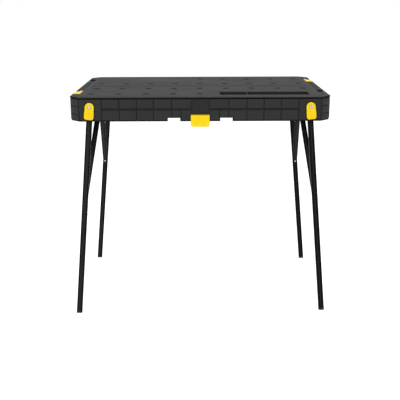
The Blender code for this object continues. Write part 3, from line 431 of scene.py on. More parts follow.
def add(shape, other, place=Matrix.Identity(4)):
    """Add a copy of one shape to another."""
    mesh = bpy.data.meshes.new("copy")
    other.to_mesh(mesh)
    mesh.transform(place)
    if place.determinant() < 0:
        mesh.flip_normals()
    shape.from_mesh(mesh)
    bpy.data.meshes.remove(mesh)


def merge(shape, other, place=Matrix.Identity(4)):
    """Move one shape into another."""
    add(shape, other, place)
    other.free()


def place_in_scene(name, data):
    """Make an object of some data and link it."""
    thing = bpy.data.objects.new(name, data)
    bpy.context.scene.collection.objects.link(thing)
    return thing


def combined(shape, other, operation="DIFFERENCE", overlaps=False):
    """Combine two shapes, as a cut if nothing else is asked, and give back the result."""
    things = []
    for label, source in (("work", shape), ("tool", other)):
        mesh = bpy.data.meshes.new(label)
        source.to_mesh(mesh)
        source.free()
        things.append(place_in_scene(label, mesh))
    step = things[0].modifiers.new("step", "BOOLEAN")
    step.operation = operation
    step.solver = "EXACT"
    step.object = things[1]
    step.use_self = overlaps
    bpy.context.view_layer.update()
    seen = things[0].evaluated_get(bpy.context.evaluated_depsgraph_get())
    result = bmesh.new()
    result.from_mesh(seen.to_mesh())
    seen.to_mesh_clear()
    for thing in things:
        mesh = thing.data
        bpy.data.objects.remove(thing, do_unlink=True)
        bpy.data.meshes.remove(mesh)
    bmesh.ops.remove_doubles(result, verts=result.verts, dist=2e-6)
    return result


def united(shape, other, overlaps=False):
    """Unite two shapes and give back the result."""
    return combined(shape, other, "UNION", overlaps)


def piece(name, shape, body, slot, replaces=(), look=None):
    """Make a finished piece from a shape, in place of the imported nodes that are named."""
    mesh = bpy.data.meshes.new(name)
    shape.to_mesh(mesh)
    shape.free()
    thing = place_in_scene(name, mesh)
    mesh.materials.append(look or LOOKS[slot])
    mesh.shade_smooth()
    mesh.set_sharp_from_angle(angle=math.radians(SMOOTH_ANGLE))
    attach(thing, body)
    if replaces:
        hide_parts(*replaces)


# Finishes


class Wire:
    """One socket of a material; sums on wires add their Math nodes."""

    def __init__(self, tree, socket):
        self.tree = tree
        self.socket = socket

    def node(self, kind, settings=None, sockets=None, out=0):
        """Add a node of a kind, with its settings and what its sockets take."""
        made = self.tree.nodes.new("ShaderNode" + kind)
        for key, value in (settings or {}).items():
            setattr(made, key, value)
        for key, value in (sockets or {}).items():
            if isinstance(value, Wire):
                self.tree.links.new(value.socket, made.inputs[key])
            else:
                made.inputs[key].default_value = value
        return Wire(self.tree, made.outputs[out])

    def math(self, operation, other):
        """Math node on this wire and another value."""
        return self.node("Math", {"operation": operation}, {0: self, 1: other})

    def __add__(self, other):
        return self.math("ADD", other)

    def __sub__(self, other):
        return self.math("SUBTRACT", other)

    def __mul__(self, other):
        return self.math("MULTIPLY", other)

    def unsigned(self):
        """This wire without its sign."""
        return self.node("Math", {"operation": "ABSOLUTE"}, {0: self})

    def clamped(self, low, high, to_low=0.0, to_high=1.0):
        """Map a range onto another and hold it there."""
        sockets = {0: self, 1: low, 2: high, 3: to_low, 4: to_high}
        return self.node("MapRange", {"clamp": True}, sockets)

    def blend(self, first, second):
        """Mix two colours with this wire as the factor."""
        return self.node("Mix", {"data_type": "RGBA"}, {0: self, 6: first, 7: second}, 2)


def grey(value, warm=0.0):
    """A near-neutral colour of a brightness."""
    return (value * (1 + warm), value, value * (1 - warm), 1.0)


def new_material(name):
    """New material: its place wire and its shader node."""
    made = bpy.data.materials.new(name)
    made.use_nodes = True
    tree = made.node_tree
    shader = tree.nodes["Principled BSDF"]
    spot = tree.nodes.new("ShaderNodeTexCoord")
    return made, Wire(tree, spot.outputs["Object"]), shader


def stretched(spot, scale):
    """Place wire with a different scale on each axis."""
    return spot.node("Mapping", {}, {0: spot, 3: scale})


def noise(spot, scale, detail=3.0, rough=0.5, twist=0.0):
    """Cloud pattern between 0 and 1."""
    sockets = {0: spot, 2: scale, 3: detail, 4: rough, 8: twist}
    return spot.node("TexNoise", {}, sockets)


def relief(wire, strength, distance, under=None):
    """Bump from a height pattern, on top of another one."""
    sockets = {"Height": wire, "Strength": strength, "Distance": distance}
    if under is not None:
        sockets["Normal"] = under
    return wire.node("Bump", {}, sockets)


def connect(shader, **values):
    """Give the shader's sockets their wires and numbers."""
    for key, value in values.items():
        socket = shader.inputs[key.replace("_", " ")]
        if isinstance(value, Wire):
            value.tree.links.new(value.socket, socket)
        else:
            socket.default_value = value


def facing_up(spot):
    """1 where a surface faces up, 0 at the sides."""
    return part_of(spot.node("NewGeometry", {}, {}, "Normal"), 2).clamped(0.3, 0.95)


def moulded(name, dark, light, rough, gloss, scuff, sunk, painted_highlight=None):
    """Dark moulded plastic: fine grain, uneven gloss, pale rub marks, painted shade from a mask and, if
    asked, a painted highlight line.
    """
    made, spot, shader = new_material(name)
    cloud = noise(spot, 9.0, 4.0, 0.6)
    grain = noise(spot, 1400.0, 2.0, 0.7)
    pores = spot.node("TexVoronoi", {}, {0: spot, 2: 700.0})
    streaks = noise(stretched(spot, (14.0, 160.0, 90.0)), 3.0, 4.0, 0.7, 0.6)
    rubs = streaks.clamped(0.60, 0.74) * facing_up(spot) * scuff
    dust = noise(spot, 38.0, 5.0, 0.65).clamped(0.45, 0.8) * facing_up(spot)
    tint = (cloud.clamped(0.3, 0.7) * 0.6 + grain.clamped(0.3, 0.7) * 0.4)
    colour = tint.blend(grey(dark, -0.02), grey(light, -0.02))
    colour = (dust * 0.07).blend(colour, grey(0.14))
    colour = rubs.blend(colour, grey(0.15))
    # Painted highlight: a pale line along the worktop's beads, where the mask is 1
    if painted_highlight:
        colour = (painted_highlight(spot) * 0.8).blend(colour, grey(0.11))
    # Painted shade: near black where the mask says, in grooves, rims and shadow lines
    colour = sunk(spot).blend(colour, grey(0.002))
    shine = cloud.clamped(0.25, 0.75, rough - 0.05, rough + 0.06) + grain * 0.06 + rubs * 0.12
    bump = relief(pores, 0.16, 0.00020)
    bump = relief(grain, 0.12, 0.00015, bump)
    connect(shader, Base_Color=colour, Roughness=shine, Normal=bump, IOR=1.48,
            Specular_IOR_Level=gloss)
    return made


def part_of(spot, axis):
    """One coordinate of a place or of a direction."""
    return spot.node("SeparateXYZ", {}, {0: spot}, axis)


def size_of(spot, axis):
    """One coordinate without its sign."""
    return part_of(spot, axis).unsigned()


def outward(spot, inset):
    """How far a place lies outside the top's plan, drawn in by an inset."""
    x, y = size_of(spot, 0), size_of(spot, 1)
    facet = (x + y - (TOP_LENGTH + TOP_WIDTH - 2 * CORNER_CUT) / 2) * math.sqrt(0.5) + inset
    x = x - (TOP_LENGTH / 2 - inset)
    y = y - (TOP_WIDTH / 2 - inset)
    return x.math("MAXIMUM", y).math("MAXIMUM", facet)


def groove_shade(spot):
    """Painted shade: 1 on the bottom rim of the skirt, less in its grooves and middle recess, 0 on its
    panels.
    """
    face = outward(spot, LIP_OVERHANG + SKIRT_GROOVE - 0.0004).clamped(0.0, 0.0003, 1.0, 0.0)
    inside = outward(spot, LIP_OVERHANG + SKIRT_WALL - 0.0006).clamped(-0.0002, 0.0002)
    rim = part_of(spot, 2).clamped(level(PANEL_FOOT) - 0.0004, level(PANEL_FOOT), 1.0, 0.0)
    recess = size_of(spot, 0).clamped(RECESS_HALF - 0.0006, RECESS_HALF, 0.22, 0.0)
    return (face * inside * 0.6).math("MAXIMUM", rim).math("MAXIMUM", recess)


def under_lip(spot):
    """Painted shade: 1 in the shadow line under the worktop's edge and round its rim, but for the front."""
    low = part_of(spot, 2).clamped(level(DECK_LIP) + 0.0005, level(DECK_LIP) + 0.0010, 1.0, 0.0)
    low = low * outward(spot, 0.0055).clamped(0.0, 0.0005)
    rim = outward(spot, 0.0022).clamped(0.0, 0.0007, 0.0, 0.85)
    rim = rim * part_of(spot, 1).clamped(-0.297, -0.293)
    return low.math("MAXIMUM", rim)


def bead_highlight(spot):
    """1 on the painted highlight line along each bead of the worktop."""
    line = (size_of(spot, 0) - BEAD_X).unsigned().clamped(0.0007, 0.0014, 1.0, 0.0)
    return line * size_of(spot, 1).clamped(BEAD_HALF_LENGTH, BEAD_HALF_LENGTH + 0.001, 1.0, 0.0)


def yellow_plastic():
    """Bright yellow moulded plastic with a satin grain and dirt in its marks."""
    made, spot, shader = new_material("yellow_plastic")
    cloud = noise(spot, 60.0, 3.0, 0.5)
    grain = noise(spot, 2600.0, 2.0, 0.6)
    specks = noise(spot, 420.0, 3.0, 0.6).clamped(0.68, 0.76)
    colour = cloud.clamped(0.3, 0.7).blend((0.92, 0.64, 0.004, 1), (0.96, 0.70, 0.008, 1))
    colour = (specks * 0.35).blend(colour, (0.55, 0.33, 0.01, 1))
    shine = cloud.clamped(0.3, 0.7, 0.34, 0.44) + grain * 0.05
    connect(shader, Base_Color=colour, Roughness=shine, Normal=relief(grain, 0.10, 0.0001), IOR=1.5,
            Specular_IOR_Level=0.18)
    return made


def leg_paint():
    """Dark powder coat: orange peel, soft dust, small chips and painted shade on the edges."""
    made, spot, shader = new_material("leg_paint")
    facing = spot.node("TexCoord", {}, {}, "Normal")
    across = size_of(facing, 0)
    edges = (across * size_of(facing, 1)).clamped(0.06, 0.16)
    edges = edges.math("MAXIMUM", across.clamped(0.10, 0.35, 0.0, 0.55))
    slope = math.tan(LEG_SPLAY)
    beside = size_of(spot, 0) + part_of(spot, 2) * slope - (leg_line(0.0) + level(0.0) * slope)
    edges = edges.math("MAXIMUM", beside.unsigned().clamped(LEG_WIDTH / 2 - 0.0052, LEG_WIDTH / 2 - 0.0040))
    cloud = noise(spot, 12.0, 4.0, 0.6)
    peel = noise(spot, 620.0, 2.0, 0.5)
    runs = noise(stretched(spot, (240.0, 240.0, 9.0)), 1.0, 3.0, 0.6)
    chips = noise(spot, 330.0, 2.0, 0.8).clamped(0.74, 0.76)
    colour = cloud.clamped(0.3, 0.7).blend(grey(0.020), grey(0.028))
    colour = (runs.clamped(0.5, 0.75) * 0.25).blend(colour, grey(0.045))
    # Painted shade: the tube's rounded edges and sides are darkened
    colour = edges.blend(colour, grey(0.002))
    colour = (chips * 0.6).blend(colour, grey(0.11))
    shine = cloud.clamped(0.3, 0.7, 0.34, 0.44) + peel * 0.08 + chips * 0.2
    connect(shader, Base_Color=colour, Roughness=shine, Normal=relief(peel, 0.22, 0.0002), IOR=1.3,
            Specular_IOR_Level=0.07)
    return made


def zinc_steel(name, base, rough):
    """Zinc-plated steel: rolled lines, cloudy plating and small stains."""
    made, spot, shader = new_material(name)
    cloud = noise(spot, 55.0, 5.0, 0.65)
    lines = noise(stretched(spot, (60.0, 60.0, 900.0)), 3.0, 3.0, 0.6)
    stains = noise(spot, 130.0, 4.0, 0.7).clamped(0.60, 0.72)
    colour = cloud.clamped(0.3, 0.7).blend(grey(base * 0.82, 0.02), grey(base * 1.12, -0.02))
    colour = (stains * 0.4).blend(colour, (base * 0.62, base * 0.58, base * 0.50, 1))
    shine = cloud.clamped(0.3, 0.7, rough - 0.06, rough + 0.08) + lines * 0.10 + stains * 0.1
    connect(shader, Base_Color=colour, Roughness=shine, Metallic=1.0,
            Normal=relief(lines, 0.10, 0.0001))
    return made


def foot_rubber():
    """Black rubber with a dusty bloom near the floor."""
    made, spot, shader = new_material("foot_rubber")
    cloud = noise(spot, 90.0, 4.0, 0.6)
    grain = noise(spot, 1500.0, 2.0, 0.6)
    dust = part_of(spot, 2).clamped(0.001, 0.016, 1.0, 0.0) * cloud.clamped(0.3, 0.7)
    colour = cloud.clamped(0.3, 0.7).blend(grey(0.012), grey(0.020))
    colour = (dust * 0.5).blend(colour, grey(0.085, 0.06))
    connect(shader, Base_Color=colour, Roughness=cloud.clamped(0.2, 0.8, 0.68, 0.86),
            Normal=relief(grain, 0.25, 0.0002))
    return made


def ruler_print():
    """Pale print of the ruler, worn thin in places."""
    made, spot, shader = new_material("ruler_print")
    wear = noise(spot, 240.0, 4.0, 0.7)
    colour = wear.clamped(0.45, 0.70).blend(grey(0.62), grey(0.24))
    connect(shader, Base_Color=colour, Roughness=wear.clamped(0.3, 0.7, 0.5, 0.7),
            Normal=relief(wear, 0.05, 0.0001))
    return made


LOOKS = {
    "deck_plastic": moulded("deck_plastic", 0.021, 0.028, 0.61, 0.06, 0.20, under_lip, bead_highlight),
    "skirt_plastic": moulded("skirt_plastic", 0.022, 0.029, 0.53, 0.13, 0.12, groove_shade),
    "yellow_plastic": yellow_plastic(),
    "leg_paint": leg_paint(),
    "zinc_steel": zinc_steel("zinc_steel", 0.46, 0.33),
    "foot_rubber": foot_rubber(),
}
BOLT_LOOK = zinc_steel("bolt_steel", 0.50, 0.32)
PRINT_LOOK = ruler_print()


# Worktop


def eight_sided(inset, low, high, edge=0.0):
    """Block with the plan of the top, its corners cut, drawn in by an inset."""
    half_x = TOP_LENGTH / 2 - inset
    half_y = TOP_WIDTH / 2 - inset
    shape = box((-half_x, half_x), (-half_y, half_y), (low, high))
    least = 0.5 * (high - low)
    rounded(shape, upright(shape, least), CORNER_CUT - inset * (2 - math.sqrt(2)), 1)
    if edge:
        rounded(shape, upright(shape, least), edge, 3)
    return shape


def clamp_holes():
    """Centres of the clamp holes: two full rows and two half rows."""
    for column in range(-HOLE_COLUMNS, HOLE_COLUMNS + 1):
        x = column * HOLE_PITCH
        yield x, -INNER_ROW
        yield x, INNER_ROW
        if column <= 0:
            yield x, -OUTER_ROW
        if column >= 0:
            yield x, OUTER_ROW


def roof_screws():
    """Screws that hold the brackets up: node name and place."""
    for side, front, name in corners():
        outer, inner = (OUTER_CHEEK, MIDDLE_CHEEK) if side < 0 else (MIDDLE_CHEEK, INNER_CHEEK)
        x = side * (BOLT_X + CHEEK_HALF + FLANGE_LONG / 2)
        yield "bracket_screw_" + name, x, front * (outer + inner - STEEL) / 2
        x = side * leg_line(pivot_depth(side))
        yield "hub_screw_" + name, x, front * (HUB_EAR_Y + HUB_SCREW_OUT)


def under_structure():
    """Ribs, collars, bosses and boxes that stand under the deck."""
    under = level(DECK_PLATE) + 0.001
    end_inside = TOP_LENGTH / 2 - LIP_OVERHANG - SKIRT_WALL
    shape = bmesh.new()
    for column in range(HOLE_COLUMNS):
        x = (column + 0.5) * HOLE_PITCH
        for side in (-1, 1):
            block(shape, (side * x - RIB_THICK / 2, side * x + RIB_THICK / 2),
                  (-SKIRT_INSIDE + GAP, SKIRT_INSIDE - GAP), (level(RIB_BOTTOM - 0.001), under))
    middle_row = (INNER_ROW + OUTER_ROW) / 2
    for y in (-middle_row, middle_row):
        block(shape, (-end_inside + GAP, end_inside - GAP),
              (y - RIB_THICK / 2, y + RIB_THICK / 2), (level(RIB_BOTTOM - 0.002), under))
    block(shape, (-GROOVE_HALF_LENGTH - 0.004, GROOVE_HALF_LENGTH + 0.004),
          (-GROOVE_HALF_WIDTH - 0.003, GROOVE_HALF_WIDTH + 0.003),
          (level(GROOVE_DEPTH + 0.0035), under))
    for x, y in clamp_holes():
        rod(shape, (x, y, level(RIB_BOTTOM)), (x, y, under), HOLE_RADIUS + COLLAR_WALL)
    for _, x, y in roof_screws():
        rod(shape, (x, y, level(RIB_BOTTOM)), (x, y, under), BOSS_RADIUS, SMALL_SIDES)
    block(shape, (TRAY_X[0] - TRAY_WALL, TRAY_X[3] + TRAY_WALL),
          (TRAY_Y[0] - TRAY_WALL, TRAY_Y[1] + TRAY_WALL), (level(RIB_BOTTOM), under))
    wide = LINK_HALF_WIDTH + LINK_FLANGE + POCKET_FLOOR
    for side in (-1, 1):
        x = band(side, SOCKET_X[0] - POCKET_FLOOR, TOP_LENGTH / 2 - RIM_WIDTH + 0.001)
        for end in (-1, 1):
            block(shape, x, (end * LINK_Y - wide, end * LINK_Y + wide),
                  (level(LINK_DEPTH + POCKET_FLOOR), under))
    return shape


def hole_plug():
    """What one clamp hole takes away, with its dished rim."""
    bottom = -RIB_BOTTOM - OVER
    return turned(HOLE_RIM + [(HOLE_RADIUS, bottom), (0.0, bottom)], sides=ROUND_SIDES)


def tray_void(x):
    """What one tray takes away, with round corners, a round floor and a flared lip."""
    shape = box(x, TRAY_Y, levels(TRAY_DEPTH, -OVER))
    rounded(shape, upright(shape, 0.01), TRAY_CORNER, 5)
    floor = [e for e in shape.edges if all(v.co.z < level(TRAY_DEPTH) + 1e-5 for v in e.verts)]
    rounded(shape, floor, TRAY_FLOOR_ROUND, 3)
    lip = box(x, TRAY_Y, levels(FINE_EDGE, -OVER))
    rounded(lip, upright(lip, 0.001), TRAY_CORNER, 5)
    for vert in lip.verts:
        if vert.co.z > level(0):
            vert.co += Vector((math.copysign(TRAY_FLARE, vert.co.x - (x[0] + x[1]) / 2),
                               math.copysign(TRAY_FLARE, vert.co.y - (TRAY_Y[0] + TRAY_Y[1]) / 2), 0))
    return shape, lip


def build_worktop():
    """Moulded worktop with its holes, tray, grooves and ribs."""
    deck = eight_sided(0, level(DECK_LIP), level(0), CORNER_ROUND)
    soften(deck, EDGE_ROUND, 4, 50, lambda e: all(v.co.z > level(0.0001) for v in e.verts))
    soften(deck, FINE_EDGE, 2, 50, lambda e: all(v.co.z < level(DECK_LIP) + 0.0001 for v in e.verts))
    rebate = eight_sided(LIP_OVERHANG + REBATE, level(DECK_RIM), level(DECK_LIP - 0.001))
    deck = united(deck, rebate)
    deck = combined(deck, eight_sided(RIM_WIDTH, level(DECK_RIM + 0.01), level(DECK_PLATE)))
    deck = united(deck, under_structure(), overlaps=True)
    cut = bmesh.new()
    plug = hole_plug()
    for x, y in clamp_holes():
        add(cut, plug, Matrix.Translation((x, y, HEIGHT)))
    plug.free()
    bottom = level(RIB_BOTTOM + OVER)
    for _, x, y in roof_screws():
        rod(cut, (x, y, bottom), (x, y, level(SCREW_TIP - 0.001)), SCREW_RADIUS + GAP, SMALL_SIDES)
    for x in (TRAY_X[0:2], TRAY_X[2:4]):
        for part in tray_void(x):
            merge(cut, part)
    x, y, radius = TRAY_HOLE
    rod(cut, (x, y, bottom), (x, y, level(0.010)), radius)
    for side in (-1, 1):
        x = side * BEAD_X
        vee = slab([(x - BEAD_HALF_WIDTH, level(-0.0003)), (x, level(BEAD_DEPTH)),
                    (x + BEAD_HALF_WIDTH, level(-0.0003))], "XZ", -BEAD_HALF_LENGTH, BEAD_HALF_LENGTH)
        merge(cut, vee)
        end = TOP_LENGTH / 2 + OVER
        y = side * LINK_Y
        slot = LINK_HALF_WIDTH + GAP
        socket = LINK_HALF_WIDTH + SOCKET_SIDE_PLAY
        for x, middle, half, high in (
                ((LINK_INNER_X, end), y, slot, -OVER),
                ((LINK_INNER_X, end), y, slot + LINK_FLANGE, LINK_LOW + GAP),
                (SOCKET_X, -y, socket, -OVER),
                ((SOCKET_X[1] - 0.001, end), -y, socket, LINK_LOW - GAP)):
            block(cut, band(side, *x), (middle - half, middle + half), levels(LINK_DEPTH, high))
    add_grips(cut)
    vee = slab([(-GROOVE_HALF_WIDTH, level(-0.0001)), (0.0, level(GROOVE_DEPTH)),
                (GROOVE_HALF_WIDTH, level(-0.0001))], "YZ", -GROOVE_HALF_LENGTH, GROOVE_HALF_LENGTH)
    merge(cut, vee)
    deck = combined(deck, cut, overlaps=True)
    piece("worktop", deck, "bench_top", "deck_plastic", ["deck"])


def add_grips(cut):
    """Fine cross grooves in the strips at both ends of the worktop."""
    clear = LINK_HALF_WIDTH + 0.010
    steps = int(BEAD_HALF_LENGTH / GRIP_PITCH)
    for side in (-1, 1):
        x = band(side, *GRIP_STRIP)
        for step in range(-steps, steps + 1):
            y = step * GRIP_PITCH
            if abs(abs(y) - LINK_Y) < clear:
                continue
            block(cut, x, (y - GRIP_HALF, y + GRIP_HALF), levels(GRIP_DEPTH, -0.001))


def build_ruler():
    """Two printed strips of marks, with plain numbers in front of them."""
    marks = bmesh.new()
    numbers = bmesh.new()
    for first, last, mark_y, number_y in RULERS:
        for step in range(round((last - first) / RULER_STEP) + 1):
            x = first + RULER_STEP * step
            long = MARK_LONG[0 if step % 10 == 0 else 1 if step % 2 == 0 else 2]
            block(marks, (x - MARK_HALF, x + MARK_HALF), (mark_y, mark_y + long), levels(0.0002, 0.00001))
        for step in range(round((last - first) / NUMBER_STEP) + 1):
            text = bpy.data.curves.new("number", "FONT")
            text.body = "%g" % (2.5 * step)
            text.size = NUMBER_SIZE[step % 2]
            text.align_x = "CENTER"
            text.extrude = PRINT_THICK
            holder = place_in_scene("number", text)
            bpy.context.view_layer.update()
            seen = holder.evaluated_get(bpy.context.evaluated_depsgraph_get())
            mesh = bpy.data.meshes.new_from_object(seen)
            x = first + NUMBER_STEP * step
            mesh.transform(Matrix.Translation((x, number_y, level(PRINT_THICK) - 0.00001)))
            numbers.from_mesh(mesh)
            bpy.data.objects.remove(holder, do_unlink=True)
            bpy.data.meshes.remove(mesh)
            bpy.data.curves.remove(text)
    piece("ruler_ticks", marks, "bench_top", "deck_plastic", look=PRINT_LOOK)
    piece("ruler_numbers", numbers, "bench_top", "deck_plastic", look=PRINT_LOOK)


# Skirt


def lever_outline(grow=0.0):
    """Outline of a lock lever in its own leaning frame."""
    points = []
    top = LEVER_TOP_RADIUS + grow
    for step in range(19):
        turn = math.radians(180 * step / 18)
        points.append((top * math.cos(turn), top * math.sin(turn)))
    half = LEVER_RADIUS + grow
    low = -LEVER_LENGTH - grow
    points += [(-top, -LEVER_SHOULDER[0]), (-half, -LEVER_SHOULDER[1])]
    for centre, first in ((-half + LEVER_CORNER, 180), (half - LEVER_CORNER, 270)):
        for step in range(7):
            turn = math.radians(first + 15 * step)
            points.append((centre + LEVER_CORNER * math.cos(turn),
                           low + LEVER_CORNER + LEVER_CORNER * math.sin(turn)))
    points += [(half, -LEVER_SHOULDER[1]), (top, -LEVER_SHOULDER[0])]
    return points


def panel(shape, x, z, face, place):
    """Raised panel with round edges that faces -Y at a distance."""
    pad = box(x, (-face, -face + PANEL_THICK), z)
    soften(pad, PANEL_EDGE, 3, 30, lambda e: any(v.co.y < -face + 1e-5 for v in e.verts))
    merge(shape, pad, place)


def badge_relief():
    """Plain short ribs and a smooth arch in the middle recess of both long sides."""
    shape = bmesh.new()
    face = SKIRT_FACE - RECESS_DEEP
    wide, tall, middle = 0.0245, 0.0205, 0.0325
    for front in (-1, 1):
        turn = half_turn(front)
        for side in (-1, 1):
            for across, depth, lean in ((0.0232, 0.0120, 38), (0.0232, 0.0225, -38)):
                spot = turn @ Matrix.Translation((side * across, -face, level(depth)))
                block(shape, (-0.0008, 0.0008), (-0.0007, 0.001), (-0.0032, 0.0032),
                      spot @ Matrix.Rotation(math.radians(side * lean), 4, "Y"))
        foot = level(LATCH_OPENING - 0.0025)
        points = [(-wide, foot), (wide, foot)]
        for step in range(19):
            swing = math.radians(10 * step)
            points.append((wide * math.cos(swing), level(middle) + tall * math.sin(swing)))
        arch = slab(points, "XZ", -face - 0.0006, -face + 0.001)
        soften(arch, 0.0004, 2, 40, lambda e: all(v.co.y < -face - 0.0005 for v in e.verts))
        merge(shape, arch, turn)
    return shape


def add_panels(panels):
    """Raised panels: two rows on each side, whole ones beside the corners, three on a corner."""
    half = GROOVE_WIDTH / 2
    upper = levels(PANEL_SPLIT - SPLIT_WIDTH / 2, PANEL_TOP)
    lower = levels(PANEL_FOOT, PANEL_SPLIT + SPLIT_WIDTH / 2)
    whole = levels(PANEL_FOOT, PANEL_TOP)
    for front in (-1, 1):
        turn = half_turn(front)
        block(panels, (-RECESS_HALF + 0.0006, RECESS_HALF - 0.0006),
              band(front, SKIRT_FACE - RECESS_DEEP, SKIRT_FACE - SKIRT_GROOVE - 0.001),
              levels(LATCH_OPENING + 0.001, PANEL_TOP))
        for side in (-1, 1):
            for near, far in zip(FRONT_GROOVES, FRONT_GROOVES[1:]):
                x = band(side, near + half, far - half)
                panel(panels, x, upper, SKIRT_FACE, turn)
                if near == FRONT_GROOVES[0]:
                    panel(panels, band(side, near + half, LOW_GROOVE - half), lower, SKIRT_FACE, turn)
                    x = band(side, LOW_GROOVE + half, far - half)
                panel(panels, x, lower, SKIRT_FACE, turn)
            x = band(side, FRONT_GROOVES[-1] + half, TOP_LENGTH / 2 - CORNER_CUT - CORNER_GROOVE)
            panel(panels, x, whole, SKIRT_FACE, turn)
    end_face = TOP_LENGTH / 2 - LIP_OVERHANG
    edges = [-v for v in reversed(END_GROOVES)] + list(END_GROOVES)
    for side in (-1, 1):
        turn = Matrix.Rotation(side * math.pi / 2, 4, "Z")
        for near, far in zip(edges, edges[1:]):
            for row in (upper, lower):
                panel(panels, (near + half, far - half), row, end_face, turn)
        for end in (-1, 1):
            x = band(end, END_GROOVES[-1] + half, TOP_WIDTH / 2 - CORNER_CUT - CORNER_GROOVE)
            panel(panels, x, whole, end_face, turn)
    wide = CORNER_CUT / math.sqrt(2) - 0.0024
    for side, front, _ in corners():
        middle = Vector((side * (TOP_LENGTH - CORNER_CUT) / 2, front * (TOP_WIDTH - CORNER_CUT) / 2, 0))
        out = Vector((side, front, 0)).normalized()
        spin = math.atan2(out.y, out.x) + math.pi / 2
        turn = Matrix.Translation(middle - out * LIP_OVERHANG) @ Matrix.Rotation(spin, 4, "Z")
        limits = [PANEL_TOP - half, *FACET_GROOVES, PANEL_FOOT + half]
        for high, low in zip(limits, limits[1:]):
            panel(panels, (-wide, wide), levels(low - half, high + half), 0.0, turn)


def pin_hole(half):
    """What the hole of the latch's pin takes away, out to a distance on both sides."""
    hole = bmesh.new()
    rod(hole, (-half, -LATCH_PIVOT_OUT, level(LATCH_PIVOT_DEPTH)),
        (half, -LATCH_PIVOT_OUT, level(LATCH_PIVOT_DEPTH)), LATCH_PIN_RADIUS + GAP, SMALL_SIDES)
    return hole


def build_skirt():
    """Moulded skirt: a ring with raised panels on every side."""
    low = level(SKIRT_DEPTH + FAR_OVER)
    skirt = eight_sided(LIP_OVERHANG + SKIRT_GROOVE, *levels(SKIRT_DEPTH, DECK_RIM + GAP))
    skirt = combined(skirt, eight_sided(LIP_OVERHANG + SKIRT_WALL, low, level(0)))
    panels = bmesh.new()
    add_panels(panels)
    before = (SKIRT_FACE - SKIRT_GROOVE, SKIRT_FACE + FAR_OVER)
    pockets = bmesh.new()
    for side, front, _ in corners():
        pocket = slab(lever_outline(LEVER_POCKET), "XZ", *band(front, *before))
        merge(pockets, pocket, leaning(side, BOLT_DEPTH))
    for side in (-1, 1):
        x = band(side, NOTCH_X[0] - PANEL_MARGIN, NOTCH_X[1] + PANEL_MARGIN)
        for front in (-1, 1):
            block(pockets, x, band(front, *before), (low, level(NOTCH_TOP - PANEL_MARGIN)))
    wide = LATCH_HALF + 0.001 + PANEL_MARGIN / 2
    block(pockets, (-wide, wide), band(-1, *before), (low, level(LATCH_OPENING)))
    skirt = united(skirt, combined(panels, pockets), overlaps=True)
    beyond = TOP_WIDTH / 2 + FAR_OVER
    cut = bmesh.new()
    for side in (-1, 1):
        block(cut, band(side, *NOTCH_X), (-beyond, beyond), (low, level(NOTCH_TOP)))
    wide = LATCH_ARM_HALF + GAP
    block(cut, (-wide, wide), (-beyond, -SKIRT_INSIDE + OVER), (low, level(LATCH_OPENING)))
    wide = LATCH_ARM_HALF + SWING_ROOM
    block(cut, (-wide, wide), (-SKIRT_INSIDE - SWING_ROOM, -SKIRT_INSIDE + OVER),
          levels(LATCH_OPENING + 0.001, LATCH_OPENING - SWING_ROOM_HIGH))
    for side, front, _ in corners():
        rod(cut, (side * BOLT_X, front * (SKIRT_INSIDE - FAR_OVER), level(BOLT_DEPTH)),
            (side * BOLT_X, front * (SKIRT_FACE + FAR_OVER), level(BOLT_DEPTH)), LEVER_BOSS + GAP)
    skirt = combined(skirt, cut, overlaps=True)
    skirt = united(skirt, badge_relief(), overlaps=True)
    ears = bmesh.new()
    near = LATCH_ARM_HALF + GAP
    for side in (-1, 1):
        block(ears, band(side, near, near + EAR_THICK), (-SKIRT_INSIDE - 0.001, -LATCH_PIVOT_OUT + LATCH_EYE),
              levels(LATCH_PIVOT_DEPTH + LATCH_EYE, LATCH_PIVOT_DEPTH - LATCH_EYE))
    skirt = united(skirt, ears)
    skirt = combined(skirt, pin_hole(LATCH_ARM_HALF + EAR_THICK + OVER))
    piece("skirt_moulding", skirt, "bench_top", "skirt_plastic", ["skirt"])


# Leg frames


def build_leg(side, front, name):
    """Rounded tube with a pressed stripe on its faces."""
    length = along_leg(side, HEIGHT)
    outer = leg_outer(side)
    low, high = band(front, outer, outer - LEG_DEEP)
    end = -length + FOOT_HIGH
    half = LEG_WIDTH / 2
    tube = box((-half, half), (low, high), (end, half))
    rounded(tube, upright(tube, 0.1), LEG_EDGE, 5)
    crown = bmesh.new()
    rod(crown, (0, low - FAR_OVER, 0), (0, high + FAR_OVER, 0), half)
    block(crown, (-half, half), (low - FAR_OVER, high + FAR_OVER), (end - FAR_OVER, 0))
    # The rod and the block overlap, so they are united before they trim the tube
    crown = united(crown, bmesh.new(), overlaps=True)
    tube = combined(tube, crown, "INTERSECT")
    inside = half - LEG_WALL
    cut = box((-inside, inside), (low + LEG_SIDE_WALL, high - LEG_SIDE_WALL), (end - FAR_OVER, -TUBE_CLOSED))
    stripe = STRIPE_WIDTH / 2
    limits = (end + STRIPE_ENDS[0], -along_leg(side, SKIRT_DEPTH) - STRIPE_ENDS[1])
    for face in (low, high):
        shape = slab(oblong((-stripe, stripe), limits), "XZ", face - STRIPE_DEEP, face + STRIPE_DEEP)
        soften(shape, stripe * 0.98, 4, 60, lambda e: reach(e, 1) > 0.0015)
        merge(cut, shape)
    rod(cut, (0, low - FAR_OVER, 0), (0, high + FAR_OVER, 0), PIN_RADIUS + GAP, SMALL_SIDES)
    tube = combined(tube, cut)
    soften(tube, FINE_EDGE, 2, 50)
    tube.transform(leaning(side, pivot_depth(side)))
    piece("leg_tube_" + name, tube, frame_of(side), "leg_paint", ["leg_" + name])


